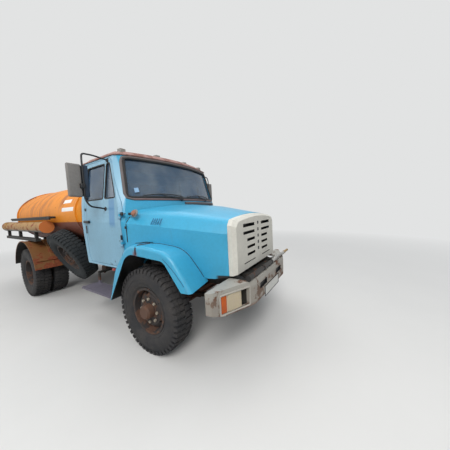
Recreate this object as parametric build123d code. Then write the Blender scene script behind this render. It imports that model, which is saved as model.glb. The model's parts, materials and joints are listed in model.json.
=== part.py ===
from build123d import *
import math
import os

# A bonneted two-axle tanker truck with an elliptical water tank, parked on its six wheels.
# Frame: +X forward, +Y to the truck's left, +Z up, floor at z = 0, millimetres.
# Places along the truck are given from the front axle, forward positive, and at() turns them
# into the frame, whose zero is half way between the bumper and the tail.

# Driving dimensions of the chassis
wheelbase = 3800
front_overhang = 1140
rear_overhang = 1700
tail = -wheelbase - rear_overhang
front_track = 1930
twin_track = 1850
twin_spacing = 310

tyre_radius = 509
tyre_width = 258
rim_radius = 254
rim_lip = 20
rim_width = 190
stud_circle_radius = 137.5
stud_count = 8

rail_outer = 432.5
rail_height = 214
rail_flange = 80
rail_wall = 8
rail_top = 920
rail_drop_x = 860
rail_drop_z = 888
cross_members = (930, -1200, -1800, -2700, -3400, -4250, tail)
cab_mounts = (-520, -1370)
engine_mounts = (-60, 420)
engine_half = 330

kingpin_y = 800
kingpin_radius = 22
steering_arm = 200
tie_rod_z = 395
running_gap = 0.05
seat_gap = 0.3
moving_gap = 8

# Driving dimensions of the cab, bonnet and wings
cab_wall = 42
cab_rear = -1460
cab_floor = 930
cab_floor_thickness = 60
gutter_height = 2440
gutter_reach = 14
gutter_thickness = 12
roof_rise = 110
glass_thickness = 6
glass_inset = 16
door_gap = 6
door_swing_gap = 5
door_hinge_x = -425
door_hinge_y = 1052

bonnet_wall = 20
bonnet_front = 880
bonnet_gap = 14
bonnet_pivot_x = 1020
bonnet_pivot_z = 800
bonnet_pivot_radius = 15
bonnet_arm_y = 470
bonnet_arm_thickness = 14

wing_outer = 1165
wing_inner = 700
wing_skin = 20
wing_split = 0
wing_front_bottom = 846
wing_edge_radius = 38
wing_taper_end = 760
wing_taper = 95

grille_depth = 90
grille_wall = 18

# Driving dimensions of the bumper
bumper_bottom = 620
bumper_top = 885
bumper_wall = 24
bumper_flange = 18
bumper_flange_depth = 75
bumper_end_y = 1060

# Driving dimensions of the tank and what hangs on it
tank_half_width = 1000
tank_half_height = 660
tank_centre_z = 1700
tank_front = -1720
tank_rear = -5050
tank_head = 95
hatch_x = -3200
hatch_radius = 250
hatch_height = 110
lid_thickness = 26
case_radius = 105
case_y = tank_half_width + case_radius + 5
case_z = 1490
case_front = -2720
case_rear = -5420
mudguard_radius = 680
mudguard_wall = 6
mudguard_inner = 700
mudguard_outer = 1240
step_z = 540
fuel_tank_length = 1000

front_axle_x = (wheelbase + front_overhang + rear_overhang) / 2 - front_overhang
axle_z = tyre_radius


def at(x):
    """Frame X of a place given from the front axle."""
    return front_axle_x + x


def block(x0, x1, y0, y1, z0, z1):
    """Box between two corners; x from the front axle."""
    size = (abs(x1 - x0), abs(y1 - y0), abs(z1 - z0))
    return Pos(at((x0 + x1) / 2), (y0 + y1) / 2, (z0 + z1) / 2) * Box(*size)


def rod_y(x, z, radius, y0, y1):
    """Round bar across the truck."""
    return Pos(at(x), (y0 + y1) / 2, z) * Rot(90, 0, 0) * Cylinder(radius, abs(y1 - y0))


def rod_z(x, y, radius, z0, z1):
    """Upright round bar."""
    return Pos(at(x), y, (z0 + z1) / 2) * Cylinder(radius, abs(z1 - z0))


def rod_x(y, z, radius, x0, x1):
    """Round bar along the truck."""
    return Pos(at((x0 + x1) / 2), y, z) * Rot(0, 90, 0) * Cylinder(radius, abs(x1 - x0))


def side_prism(outline, y0, y1):
    """Side-view outline of (x, z) points, extruded across the truck from y0 to y1."""
    path = Polyline(*[(at(x), y0, z) for x, z in outline], close=True)
    return extrude(make_face(path), amount=y1 - y0, dir=(0, 1, 0))


def flip(shape):
    """The same piece on the truck's other side."""
    return mirror(shape, Plane.XZ)


def pair(shape):
    """A piece on the right side and its twin on the left."""
    return [shape, flip(shape)]


def save(node, *shapes):
    """Write one node; its shapes stay separate solids."""
    solids = [solid for shape in shapes for solid in shape.solids()]
    item = solids[0] if len(solids) == 1 else Compound(children=solids)
    export_step(item, os.path.join("parts", node + ".step"))


def channel_y(x, z, depth, height, wall, y0, y1):
    """Channel-section member across the truck, open to the front."""
    return block(x, x + depth, y0, y1, z, z + height) - block(
        x + wall, x + depth, y0, y1, z + wall, z + height - wall)


# Frame

rail_bottom = rail_top - rail_height
rail_front = bonnet_pivot_x + 40
member_low = rail_bottom + 15


def build_rail():
    """Right channel rail with its spring hangers, mounts and bonnet pivot."""
    bottom = rail_bottom
    rail = block(tail, rail_front, -rail_outer, -rail_outer + rail_flange, bottom, rail_top)
    rail -= block(tail - 1, rail_front + 1, -rail_outer + rail_wall, -rail_outer + rail_flange + 1,
                  bottom + rail_wall, rail_top - rail_wall)
    rail += block(rail_drop_x - 120, rail_front, -rail_outer, -rail_outer + rail_flange,
                  rail_drop_z - rail_wall, rail_drop_z)
    rail -= side_prism(((rail_drop_x - 60, rail_top + 10), (rail_drop_x - 60, rail_top - 1),
                        (rail_drop_x, rail_drop_z), (rail_front + 10, rail_drop_z),
                        (rail_front + 10, rail_top + 10)), -rail_outer - 5, -rail_outer + rail_flange + 5)
    for x in (front_spring_half, -front_spring_half):
        rail += block(x - 45, x + 45, -rail_outer, -rail_outer + rail_flange, front_eye_z + 22, bottom)
    for x in (rear_spring_half, -rear_spring_half):
        rail += block(-wheelbase + x - 50, -wheelbase + x + 50, -rear_spring_y - 45, -rail_outer,
                      rear_eye_z + 22, rail_top - 40)
    for x in cab_mounts:
        rail += block(x - 55, x + 55, -rail_outer, -rail_outer + rail_flange, rail_top, cab_floor)
    for x in engine_mounts:
        rail += block(x - 45, x + 45, -rail_outer + rail_wall, -engine_half, 790, 850)
    return rail + rod_y(bonnet_pivot_x, bonnet_pivot_z, bonnet_pivot_radius, -rail_outer - 70, -rail_outer)


def build_cross_members():
    """Channel members riveted between the rails, the last one with the towing jaw under it."""
    half = rail_outer - rail_wall - seat_gap
    members = [channel_y(x, member_low, 70, 150, rail_wall, -half, half) for x in cross_members]
    bore = rod_z(tail + jaw_width / 2, 0, jaw_pin_radius, member_low - 200, member_low + rail_wall + 5)
    members[-1] = members[-1] + build_jaw(member_low) - bore
    return members


jaw_pin_radius = 21
jaw_width = 110
jaw_plate = 24
jaw_gap = 70


def build_jaw(top):
    """Rear towing jaw: two plates with a pin bore, on a web under the last cross member."""
    low = top - 2 * jaw_plate - jaw_gap
    half = jaw_width / 2
    jaw = block(tail + 110, tail + 138, -half, half, low, top)
    for z in (low, top - jaw_plate):
        plate = block(tail + half, tail + 138, -half, half, z, z + jaw_plate)
        plate += rod_z(tail + half, 0, half, z, z + jaw_plate)
        jaw += plate
    return jaw + block(tail + 2, tail + 138, -half, half, top - jaw_plate, top)


# Springs: column 1 is the leaf's length, column 2 its place in the pack, both from the top

front_leaves = ((1500, 0), (1180, 1), (860, 2), (540, 3))
rear_leaves = ((1560, 0), (1320, 1), (1060, 2), (800, 3), (540, 4))
leaf_thickness = 14
front_spring_half = 750
front_spring_y = rail_outer - rail_flange / 2
front_seat_z = 452
front_eye_z = 632
rear_spring_half = 780
rear_spring_y = rail_outer + 55
rear_seat_z = 572
rear_eye_z = 742


def leaf_pack(centre_x, y, width, leaves, seat_z, eye_z):
    """Curved leaves, one under the other, with an eye at each end of the top one."""
    top_z = seat_z + leaf_thickness * len(leaves)
    half = leaves[0][0] / 2
    rise = (eye_z - top_z) / half ** 2
    pack = None
    for length, place in leaves:
        end = length / 2
        mid = top_z - leaf_thickness * place
        tip = mid + rise * end ** 2
        upper = ThreePointArc((at(centre_x - end), y, tip), (at(centre_x), y, mid), (at(centre_x + end), y, tip))
        lower = ThreePointArc((at(centre_x + end), y, tip - leaf_thickness),
                              (at(centre_x), y, mid - leaf_thickness),
                              (at(centre_x - end), y, tip - leaf_thickness))
        ends = [Line(upper @ 1, lower @ 0), Line(lower @ 1, upper @ 0)]
        leaf = extrude(make_face(Wire([upper, ends[0], lower, ends[1]])), amount=width, dir=(0, 1, 0))
        pack = leaf if pack is None else pack + leaf
    for side in (-1, 1):
        pack += rod_y(centre_x + side * half, eye_z, 22, y, y + width)
    return pack


def build_springs():
    """Four packs: front ones under the rails, rear ones outboard of them."""
    front = leaf_pack(0, -front_spring_y - 37, 74, front_leaves, front_seat_z, front_eye_z)
    rear = leaf_pack(-wheelbase, -rear_spring_y - 45, 90, rear_leaves, rear_seat_z, rear_eye_z)
    return pair(front) + pair(rear)


# Axles, knuckles and steering

axle_boss_half = 50
knuckle_lug = 42
fork_gap = 6


def build_front_axle():
    """Dropped forged beam with an eye and kingpin at each end."""
    half = 45
    end_y = kingpin_y - 30
    neck_y = kingpin_y - 85
    right = [(-end_y, axle_z - 44), (-neck_y, axle_z - 44), (-600, 380), (-480, 352), (480, 352),
             (600, 380), (neck_y, axle_z - 44), (end_y, axle_z - 44), (end_y, axle_z + 44),
             (neck_y, axle_z + 44), (600, 490), (480, front_seat_z), (-480, front_seat_z),
             (-600, 490), (-neck_y, axle_z + 44), (-end_y, axle_z + 44)]
    path = Polyline(*[(at(-half), y, z) for y, z in right], close=True)
    beam = extrude(make_face(path), amount=2 * half, dir=(1, 0, 0))
    for x0, x1 in ((-half, -half + 28), (half - 28, half)):
        beam -= block(x0, x1, -560, 560, 378, front_seat_z - 24)
    eye = rod_z(0, -kingpin_y, 50, axle_z - axle_boss_half, axle_z + axle_boss_half)
    pin = rod_z(0, -kingpin_y, kingpin_radius, axle_z - axle_boss_half - knuckle_lug - 12,
                axle_z + axle_boss_half + knuckle_lug + 12)
    return beam + eye + flip(eye) + pin + flip(pin)


def build_knuckle():
    """Right steering knuckle: fork round the axle's eye, stub axle and steering arm."""
    low = axle_z - axle_boss_half - fork_gap
    high = axle_z + axle_boss_half + fork_gap
    body = block(-48, 48, -kingpin_y - 88, -kingpin_y - 56, low - knuckle_lug, high + knuckle_lug)
    for z0, z1 in ((low - knuckle_lug, low), (high, high + knuckle_lug)):
        body += block(-48, 48, -kingpin_y - 60, -kingpin_y, z0, z1)
        body += rod_z(0, -kingpin_y, 48, z0, z1)
    body += rod_y(0, axle_z, 62, -kingpin_y - 104, -kingpin_y - 80)
    body += rod_y(0, axle_z, stub_radius, -kingpin_y - 80 - stub_length, -kingpin_y - 80)
    arm_top = low - 8
    body += block(-steering_arm, -30, -kingpin_y - 14, -kingpin_y + 14, arm_top - 30, arm_top)
    body += rod_z(-steering_arm, -kingpin_y, 26, arm_top - 30, arm_top)
    body += rod_z(-steering_arm, -kingpin_y, ball_pin_radius, tie_rod_z - 24, arm_top)
    bore = rod_z(0, -kingpin_y, kingpin_radius + running_gap, low - 200, high + 200)
    return body - bore


stub_radius = 38
stub_length = 148
ball_pin_radius = 12


def build_tie_rod():
    """Track rod behind the axle, joining the two steering arms."""
    rod = rod_y(-steering_arm, tie_rod_z, 17, -kingpin_y + 20, kingpin_y - 20)
    for y in (-kingpin_y, kingpin_y):
        rod += rod_z(-steering_arm, y, 27, tie_rod_z - 18, tie_rod_z + 18)
    for y in (-kingpin_y, kingpin_y):
        rod -= rod_z(-steering_arm, y, ball_pin_radius + running_gap, tie_rod_z - 30, tie_rod_z + 30)
    return rod


hub_stub_radius = 40
twin_inner_y = twin_track / 2 - twin_spacing / 2
twin_outer_y = twin_track / 2 + twin_spacing / 2
rear_hub_start = twin_inner_y - 150


def build_rear_axle():
    """Banjo housing with its differential bulge, two tubes and short stubs for the hubs."""
    housing = Pos(at(-wheelbase), 0, axle_z) * Sphere(205)
    housing = housing & block(-wheelbase - 190, -wheelbase + 205, -175, 175, axle_z - 205, axle_z + 205)
    nose = Pos(at(-wheelbase + 215), 0, axle_z) * Rot(0, 90, 0) * Cone(130, 62, 130)
    tube = rod_y(-wheelbase, axle_z, 63, -rear_hub_start + 4, rear_hub_start - 4)
    stubs = rod_y(-wheelbase, axle_z, hub_stub_radius, -rear_hub_start - 110, rear_hub_start + 110)
    seat = block(-wheelbase - 60, -wheelbase + 60, -rear_spring_y - 45, -rear_spring_y + 45,
                 axle_z, rear_seat_z)
    return housing + nose + tube + stubs + seat + flip(seat)


# Wheels: revolved about Y at the origin, outer side towards -Y

def revolve_y(points):
    """Turn a closed (radius, y) outline about the Y axis."""
    path = Polyline(*[(r, y, 0) for r, y in points], close=True)
    return revolve(make_face(path), Axis.Y)


def tyre_shape():
    """Tyre with a flat tread, rounded shoulders, bulging walls and open bore."""
    half = tyre_width / 2
    bead = rim_width / 2 - 13
    seat = rim_radius + 5.5
    clear = rim_radius + rim_lip + 3
    return revolve_y([(seat, -bead), (clear, -bead), (clear + 30, -bead - 14), (380, -half), (430, -half + 2),
                      (478, -half + 16), (tyre_radius - 6, -half + 36), (tyre_radius, -half + 60),
                      (tyre_radius, half - 60), (tyre_radius - 6, half - 36), (478, half - 16),
                      (430, half - 2), (380, half), (clear + 30, bead + 14), (clear, bead), (seat, bead)])


def rim_ring(middle_y):
    """Rim barrel with rolled lips, its middle at middle_y."""
    half = rim_width / 2
    lip = rim_radius + rim_lip
    low = middle_y - half
    high = middle_y + half
    return revolve_y([(rim_radius - 8, low), (lip, low), (lip, low + 12), (rim_radius + 5, low + 12),
                      (rim_radius + 5, high - 12), (lip, high - 12), (lip, high), (rim_radius - 8, high),
                      (rim_radius - 20, middle_y + 30), (rim_radius - 20, middle_y - 30)])


def rim_disc(face_y, edge_y):
    """Dished disc, 14 thick, flat at face_y by the hub and meeting the barrel at edge_y."""
    neck_y = face_y + (edge_y - face_y) * 0.5
    thick = 14
    return revolve_y([(0, face_y), (176, face_y), (216, neck_y), (rim_radius - 12, edge_y),
                      (rim_radius - 12, edge_y + thick), (214, neck_y + thick),
                      (172, face_y + thick), (0, face_y + thick)])


def nuts(face_y, height):
    """Wheel nuts standing out of the disc's face."""
    ring = None
    for turn in range(stud_count):
        spot = Rot(0, turn * 360 / stud_count, 0) * Pos(stud_circle_radius, face_y - height / 2, 0)
        nut = spot * Rot(90, 0, 0) * extrude(RegularPolygon(17, 6), amount=height / 2, both=True)
        ring = nut if ring is None else ring + nut
    return ring


def hand_holes(y0, y1):
    """Round openings between the disc's neck and the barrel."""
    holes = None
    for turn in range(0, 360, 72):
        hole = Rot(0, turn + 36, 0) * Pos(204, (y0 + y1) / 2, 0) * Rot(90, 0, 0) * Cylinder(24, abs(y1 - y0))
        holes = hole if holes is None else holes + hole
    return holes


drum_radius = 196


def front_wheel(with_hub):
    """Front rim: disc towards the outside, hub cap, and brake drum with the stub's bore behind."""
    face = -62
    wheel = rim_ring(0) + rim_disc(face, 0) - hand_holes(face - 30, 30)
    wheel += nuts(face + 1, 26)
    if not with_hub:
        return wheel - Pos(0, face, 0) * Rot(90, 0, 0) * Cylinder(78, 60)
    hub_in = 42
    wheel += revolve_y([(0, hub_in), (drum_radius, hub_in), (drum_radius, -20), (110, -28), (110, face + 4),
                        (0, face + 4)])
    wheel += revolve_y([(0, face + 4), (84, face + 4), (84, face - 70), (66, face - 92), (0, face - 92)])
    return wheel - Pos(0, hub_in - 55, 0) * Rot(90, 0, 0) * Cylinder(bore_radius, 112)


def rear_wheel():
    """Twin rims bolted back to back on one hub, with the brake drum inside the inner one."""
    offset_y = twin_spacing / 2
    wheel = rim_ring(-offset_y) + rim_disc(-14, -offset_y + 40)
    wheel += rim_ring(offset_y) + flip(rim_disc(-14, -offset_y + 40))
    wheel -= hand_holes(-offset_y, offset_y)
    wheel += nuts(-13, 30)
    hub_in = twin_track / 2 - rear_hub_start - 10
    wheel += revolve_y([(0, hub_in), (drum_radius, hub_in), (drum_radius, 120), (118, 104), (118, 0), (0, 0)])
    wheel += revolve_y([(0, 4), (96, 4), (96, -88), (126, -92), (126, -104), (60, -104), (52, -122), (0, -122)])
    return wheel - Pos(0, hub_in - 52, 0) * Rot(90, 0, 0) * Cylinder(hub_stub_radius + running_gap, 106)


bore_radius = stub_radius + running_gap


def wheel_at(shape, x, y):
    """Put a right-hand wheel piece at its axle."""
    return Pos(at(x), y, axle_z) * shape


# Cab plan sections; columns: z, half width, where the side ends, corner x, corner y, front middle x

cab_sections = (
    (930, 1008, -440, -400, 965, -300),
    (1550, 1045, -440, -393, 1010, -215),
    (1850, 1028, -505, -431, 950, -262),
    (2440, 945, -655, -572, 890, -405),
)


def cab_outline(row, grow, z=None):
    """Plan face of the cab at one height, grown outwards by grow."""
    level, half, side_x, corner_x, corner_y, middle_x = row
    level = level if z is None else z
    half += grow
    rear = cab_rear - grow
    side_x += grow
    corner_x += grow
    corner_y += grow
    middle_x += grow
    left = [(rear, -half), (side_x, -half), (corner_x, -corner_y)]
    right = [(corner_x, corner_y), (side_x, half), (rear, half)]
    left = [(at(x), y, level) for x, y in left]
    right = [(at(x), y, level) for x, y in right]
    front = ThreePointArc(left[-1], (at(middle_x), 0, level), right[0])
    edges = [Line(left[0], left[1]), Line(left[1], left[2]), front,
             Line(right[0], right[1]), Line(right[1], right[2]), Line(right[2], left[0])]
    return make_face(Wire(edges))


def cab_solid(grow):
    """Whole cab volume from floor to gutter, grown outwards by grow."""
    return loft([cab_outline(row, grow) for row in cab_sections], ruled=True)


# Door and window outlines in side view, (x, z) from the front axle

door_outline = ((-1335, 965), (-1375, 1040), (-1375, 2385), (-1340, 2412), (-720, 2412),
                (-672, 2370), (-460, 1800), (-440, 1700), (-440, 1215), (-610, 965))
rear_pane = ((-1310, 1872), (-1310, 2350), (-835, 2350), (-835, 1872))
front_pane = ((-792, 1872), (-792, 2350), (-715, 2350), (-540, 1872))


def grown(outline, by):
    """Outline pushed outwards by a distance."""
    path = Polyline(*[(x, z) for x, z in outline], close=True)
    wire = offset(Wire(path.edges()), amount=by, kind=Kind.INTERSECTION)
    return wire


def side_prism_grown(outline, by, y0, y1):
    """side_prism of an outline grown by a gap."""
    face = make_face(grown(outline, by).edges())
    solid = extrude(face, amount=y1 - y0)
    return Pos(at(0), y1, 0) * Rot(90, 0, 0) * solid


# Side-view corners (x, z) of the wing's top line, at its inner edge and at its outer face

wing_line_inner = ((-665, 560), (-545, 960), (-300, 1287), (120, 1284), (418, 1225), (645, 820))
wing_line_outer = ((-622, 560), (-440, 985), (-152, 1300), (120, 1298), (462, 1235), (742, 820))
wing_line_radii = (480, 290, 600, 310)
arch_line = ((-590, 560), (-165, 1208), (385, 1148), (606, 820))
arch_line_radii = (230, 110)
arch_base = 200
wing_reach_outer = 1300
wing_reach_inner = 500


def pushed(points, by):
    """Open line of (x, z) points moved up and outwards by a distance, corner by corner."""
    normals = []
    for (x0, z0), (x1, z1) in zip(points, points[1:]):
        length = math.hypot(x1 - x0, z1 - z0)
        normals.append(((z0 - z1) / length, (x1 - x0) / length))
    before = normals[:1] + normals
    after = normals + normals[-1:]
    moved = []
    for (x, z), (ax, az), (bx, bz) in zip(points, before, after):
        share = by / (1 + ax * bx + az * bz)
        moved.append((x + (ax + bx) * share, z + (az + bz) * share))
    return moved


def side_face(points, radii, grow, y):
    """Side-view face below a line with rounded corners, at one place across the truck."""
    corners = [(at(x), y, z) for x, z in pushed(points, grow)]
    curve = FilletPolyline(*corners, radius=[radius + grow for radius in radii])
    start = curve @ 0
    finish = curve @ 1
    base = [(finish.X, y, arch_base), (start.X, y, arch_base)]
    edges = curve.edges() + [Line(finish, base[0]), Line(base[0], base[1]), Line(base[1], start)]
    return make_face(Wire(edges))


def wing_face(y, grow):
    """Side-view face below the wing's top line, which changes evenly from inner edge to outer."""
    share = (abs(y) - wing_inner) / (wing_outer - wing_inner)
    points = [(x0 + (x1 - x0) * share, z0 + (z1 - z0) * share)
              for (x0, z0), (x1, z1) in zip(wing_line_inner, wing_line_outer)]
    return side_face(points, wing_line_radii, grow, y)


def wing_region(y0, y1, grow=0):
    """Solid below the wing's top surface on one side, down past its tips, between two y places."""
    side = 1 if y0 > 0 else -1
    faces = [wing_face(side * y, grow) for y in (wing_reach_outer, wing_reach_inner)]
    return loft(faces, ruled=True) & block(cab_rear, front_overhang, y0, y1, 0, gutter_height)


def wing_plan(x0, x1, inset):
    """Plan region of the right wing between two places; ahead of the split its outer side draws in."""
    inner = -wing_inner + (10 if inset else 0)
    drawn = [wing_taper * max(0, x - wing_split) / (wing_taper_end - wing_split) for x in (x0, x1)]
    outer = [(x, inset - wing_outer + by) for x, by in zip((x0, x1), drawn)]
    path = Polyline(*[(at(x), y, 0) for x, y in (*outer, (x1, inner), (x0, inner))], close=True)
    return extrude(make_face(path), amount=gutter_height, dir=(0, 0, 1))


def wing_half(x0, x1, bottom):
    """One half of the right wing: a skin over the wheel with a rounded shoulder and an outer lip."""
    outside = -wing_outer - 10
    inside = -wing_inner + 10
    body = wing_region(-wing_outer, -wing_inner) & wing_plan(x0, x1, 0)
    shoulder = [edge for edge in body.edges().filter_by(Axis.Z, reverse=True)
                if edge.center().Y < wing_taper - wing_outer + 10 and edge.center().Z > bottom
                and edge.bounding_box().size.Y < wing_taper]
    body = fillet(shoulder, wing_edge_radius)
    body -= extrude(side_face(arch_line, arch_line_radii, 0, outside), amount=inside - outside, dir=(0, 1, 0))
    body -= wing_region(outside, inside, -wing_skin) & wing_plan(x0 - 10, x1 + 10, wing_skin)
    return body - block(x0 - 10, x1 + 10, outside, inside, 0, bottom)


hinge_heights = (1290, 1640)
hinge_pin_radius = 8
hinge_barrel_radius = 14


def hinge_lugs():
    """Cab side of the right door's hinges: one bored lug each, on the front post."""
    lugs = None
    for z in hinge_heights:
        lug = block(door_hinge_x - 7, door_hinge_x + 14, -door_hinge_y, -door_hinge_y + 40, z - 14, z + 14)
        lug += rod_z(door_hinge_x, -door_hinge_y, hinge_barrel_radius, z - 14, z + 14)
        lug -= rod_z(door_hinge_x, -door_hinge_y, hinge_pin_radius + running_gap, z - 20, z + 20)
        lugs = lug if lugs is None else lugs + lug
    return lugs


def hinge_leaves():
    """Door side of the right door's hinges: pin, two barrels and a leaf on the panel."""
    leaves = None
    for z in hinge_heights:
        leaf = rod_z(door_hinge_x, -door_hinge_y, hinge_pin_radius, z - 40, z + 40)
        for low in (z - 40, z + 16):
            leaf += rod_z(door_hinge_x, -door_hinge_y, hinge_barrel_radius, low, low + 24)
            leaf += block(-485, door_hinge_x, -door_hinge_y - 6, -door_hinge_y + 8, low, low + 24)
            leaf += block(-485, -443, -door_hinge_y - 6, -door_hinge_y + 34, low, low + 24)
        leaves = leaf if leaves is None else leaves + leaf
    return leaves


def build_cab():
    """Cab shell: floor, rear wall, posts and scuttle, with door and window openings."""
    outer = cab_solid(0)
    inner = cab_solid(-cab_wall) - block(-2000, 500, -1200, 1200, 0, cab_floor + cab_floor_thickness)
    shell = outer - inner
    for side in (-1, 1):
        y0, y1 = (-1300, -850) if side < 0 else (850, 1300)
        opening = side_prism_grown(door_outline, door_gap, y0, y1)
        shell -= opening
        shell -= Pos(-door_swing_gap, 0, 0) * opening
        w0, w1 = (-1300, -wing_inner) if side < 0 else (wing_inner, 1300)
        shell -= wing_region(w0, w1)
        wall0, wall1 = sorted((side * (wing_inner - wing_skin), side * wing_inner))
        shell += cab_solid(0) & wing_region(wall0, wall1, wing_skin) & block(-800, 0, wall0, wall1, 0, 1400)
    for lugs in pair(hinge_lugs()):
        shell += lugs
    shell -= windscreen_prism(0)
    shell -= rear_window_prism()
    return shell.solids().sort_by(SortBy.VOLUME)[-1]


windscreen_corners = ((-925, 1868), (-868, 2398), (868, 2398), (925, 1868))
windscreen_radius = 60
rear_window_half = 620
rear_window_low = 1820
rear_window_high = 2230


def windscreen_prism(x_reach):
    """Front-view windscreen opening, run through the front wall."""
    points = [(y, z) for y, z in windscreen_corners]
    path = FilletPolyline(*[(at(-720), y, z) for y, z in points], radius=windscreen_radius, close=True)
    return extrude(make_face(path), amount=600 + x_reach, dir=(1, 0, 0))


def rear_window_prism():
    """Rear-view window opening through the rear wall."""
    return block(cab_rear - 100, cab_rear + 150, -rear_window_half, rear_window_half,
                 rear_window_low, rear_window_high)


def build_cab_glass():
    """Windscreen and rear window, thin panes that follow the walls."""
    sheet = cab_solid(-glass_inset) - cab_solid(-glass_inset - glass_thickness)
    screen = sheet & windscreen_prism(0)
    rear = sheet & rear_window_prism()
    return [screen, rear]


def door_side(sign):
    """Y span that holds one door, from outside the wall to inside it."""
    return (-1300, -850) if sign < 0 else (850, 1300)


def build_door(sign):
    """Door panel as thick as the wall, with its two window openings and a handle."""
    y0, y1 = door_side(sign)
    shell = cab_solid(0) - cab_solid(-cab_wall)
    door = shell & side_prism(door_outline, y0, y1)
    door -= wing_region(y0, y1, moving_gap)
    for pane in (rear_pane, front_pane):
        door -= side_prism(pane, y0, y1)
    handle_y = sign * (door_hinge_y + 6)
    grip = block(-1350, -1215, handle_y - 10, handle_y + 10, 1552, 1580)
    for x in (-1340, -1228):
        grip += block(x - 8, x + 8, min(sign * 1030, handle_y), max(sign * 1030, handle_y), 1552, 1580)
    leaves = hinge_leaves()
    return door + grip + (leaves if sign < 0 else flip(leaves))


def build_door_glass(sign):
    """The two side panes of one door."""
    y0, y1 = door_side(sign)
    sheet = cab_solid(-glass_inset) - cab_solid(-glass_inset - glass_thickness)
    return [sheet & side_prism(pane, y0, y1) for pane in (rear_pane, front_pane)]


# Mirror bracket route on the right side: (x, y, z) from the front axle

mirror_route = ((-770, -935, 2385), (-830, -1180, 2440), (-800, -1290, 2330), (-800, -1300, 1850),
                (-790, -1240, 1745), (-770, -1040, 1735))
mirror_tube = 11
mirror_centre = (-790, -1395, 2080)
mirror_size = (70, 230, 400)


def build_mirror():
    """Bent tube bracket with feet on the door, and the mirror head outboard of it."""
    points = [(at(x), y, z) for x, y, z in mirror_route]
    path = FilletPolyline(*points, radius=45)
    start = Plane(origin=path @ 0, z_dir=path % 0)
    tube = sweep(start * Circle(mirror_tube), path=path) - cab_solid(0)
    x, y, z = mirror_centre
    wide, across, high = mirror_size
    head = Pos(at(x), y, z) * Box(wide, across, high)
    head = fillet(head.edges(), 24)
    arm = rod_y(mirror_route[2][0], z + 60, 9, y + across / 2 - 15, -1288)
    arm += rod_y(mirror_route[2][0], z - 120, 9, y + across / 2 - 15, -1288)
    foot = block(-810, -730, -1056, -1022, 1712, 1760)
    top_foot = block(-800, -740, -975, -935, 2365, 2405)
    return tube + head + arm + ((foot + top_foot) - cab_solid(0))


def build_roof():
    """Crowned roof pressing with its gutter, hollow underneath."""
    top = cab_sections[-1]
    outer = loft([cab_outline(top, gutter_reach, gutter_height),
                  cab_outline(top, gutter_reach, gutter_height + gutter_thickness)], ruled=True)
    levels = ((-4, 0.1), (-60, 0.62), (-190, 1.0))
    outer += loft([cab_outline(top, grow, gutter_height + roof_rise * share) for grow, share in levels],
                  ruled=True)
    inner_levels = ((-cab_wall, -0.01), (-cab_wall - 70, 0.4), (-cab_wall - 200, 0.76))
    inner = loft([cab_outline(top, grow, gutter_height + roof_rise * share)
                  for grow, share in inner_levels], ruled=True)
    return outer - inner


# Bonnet cross sections; columns: x, crease y, crease z, shoulder y, shoulder z, crown z

bonnet_sections = (
    (880, 655, 1380, 590, 1530, 1592),
    (250, 852, 1462, 735, 1640, 1715),
    (-380, 1035, 1540, 885, 1700, 1782),
)
bonnet_low = 880
shoulder_round = 70


def bonnet_profile(row, shrink, x=None):
    """Cross-section face of the bonnet, shrunk inwards all round but the bottom."""
    place, crease_y, crease_z, shoulder_y, shoulder_z, crown_z = row
    x = at(place if x is None else x)
    low_y = crease_y - 12 - shrink
    low = bonnet_low - (50 if shrink else 0)
    crease_y -= shrink
    shoulder_y -= shrink * 0.8
    shoulder_z -= shrink
    crown_z -= shrink
    top_y = shoulder_y - shoulder_round
    top_z = crown_z - (crown_z - shoulder_z) * (top_y / shoulder_y) ** 2
    share = shoulder_round / math.hypot(crease_y - shoulder_y, shoulder_z - crease_z)
    side_y = shoulder_y + (crease_y - shoulder_y) * share
    side_z = shoulder_z + (crease_z - shoulder_z) * share
    round_y = (top_y + side_y) / 4 + shoulder_y / 2
    round_z = (top_z + side_z) / 4 + shoulder_z / 2
    edges = [ThreePointArc((x, -top_y, top_z), (x, 0, crown_z), (x, top_y, top_z)),
             ThreePointArc((x, top_y, top_z), (x, round_y, round_z), (x, side_y, side_z))]
    points = [(x, side_y, side_z), (x, crease_y, crease_z), (x, low_y, low),
              (x, -low_y, low), (x, -crease_y, crease_z), (x, -side_y, side_z)]
    edges += [Line(a, b) for a, b in zip(points, points[1:])]
    edges.append(ThreePointArc((x, -side_y, side_z), (x, -round_y, round_z), (x, -top_y, top_z)))
    return make_face(Wire(edges))


def bonnet_solid(shrink, x_front, x_rear):
    """Bonnet volume; the end sections may be run a little past its ends."""
    places = (x_front, None, x_rear)
    faces = [bonnet_profile(row, shrink, x) for row, x in zip(bonnet_sections, places)]
    return loft(faces, ruled=True)


def scuttle_region():
    """All that lies behind the bonnet's rear edge, a bow parallel to the cab's front."""
    corner_x, middle_x, reach = -393 + bonnet_gap, -215 + bonnet_gap + 6, 1400
    arc = ThreePointArc((at(corner_x), -1010, 0), (at(middle_x), 0, 0), (at(corner_x), 1010, 0))
    points = [arc @ 1, (at(corner_x), reach, 0), (at(-900), reach, 0), (at(-900), -reach, 0),
              (at(corner_x), -reach, 0), arc @ 0]
    edges = [arc] + [Line(a, b) for a, b in zip(points, points[1:])]
    return extrude(make_face(Wire(edges)), amount=3000, dir=(0, 0, 1))


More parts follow.
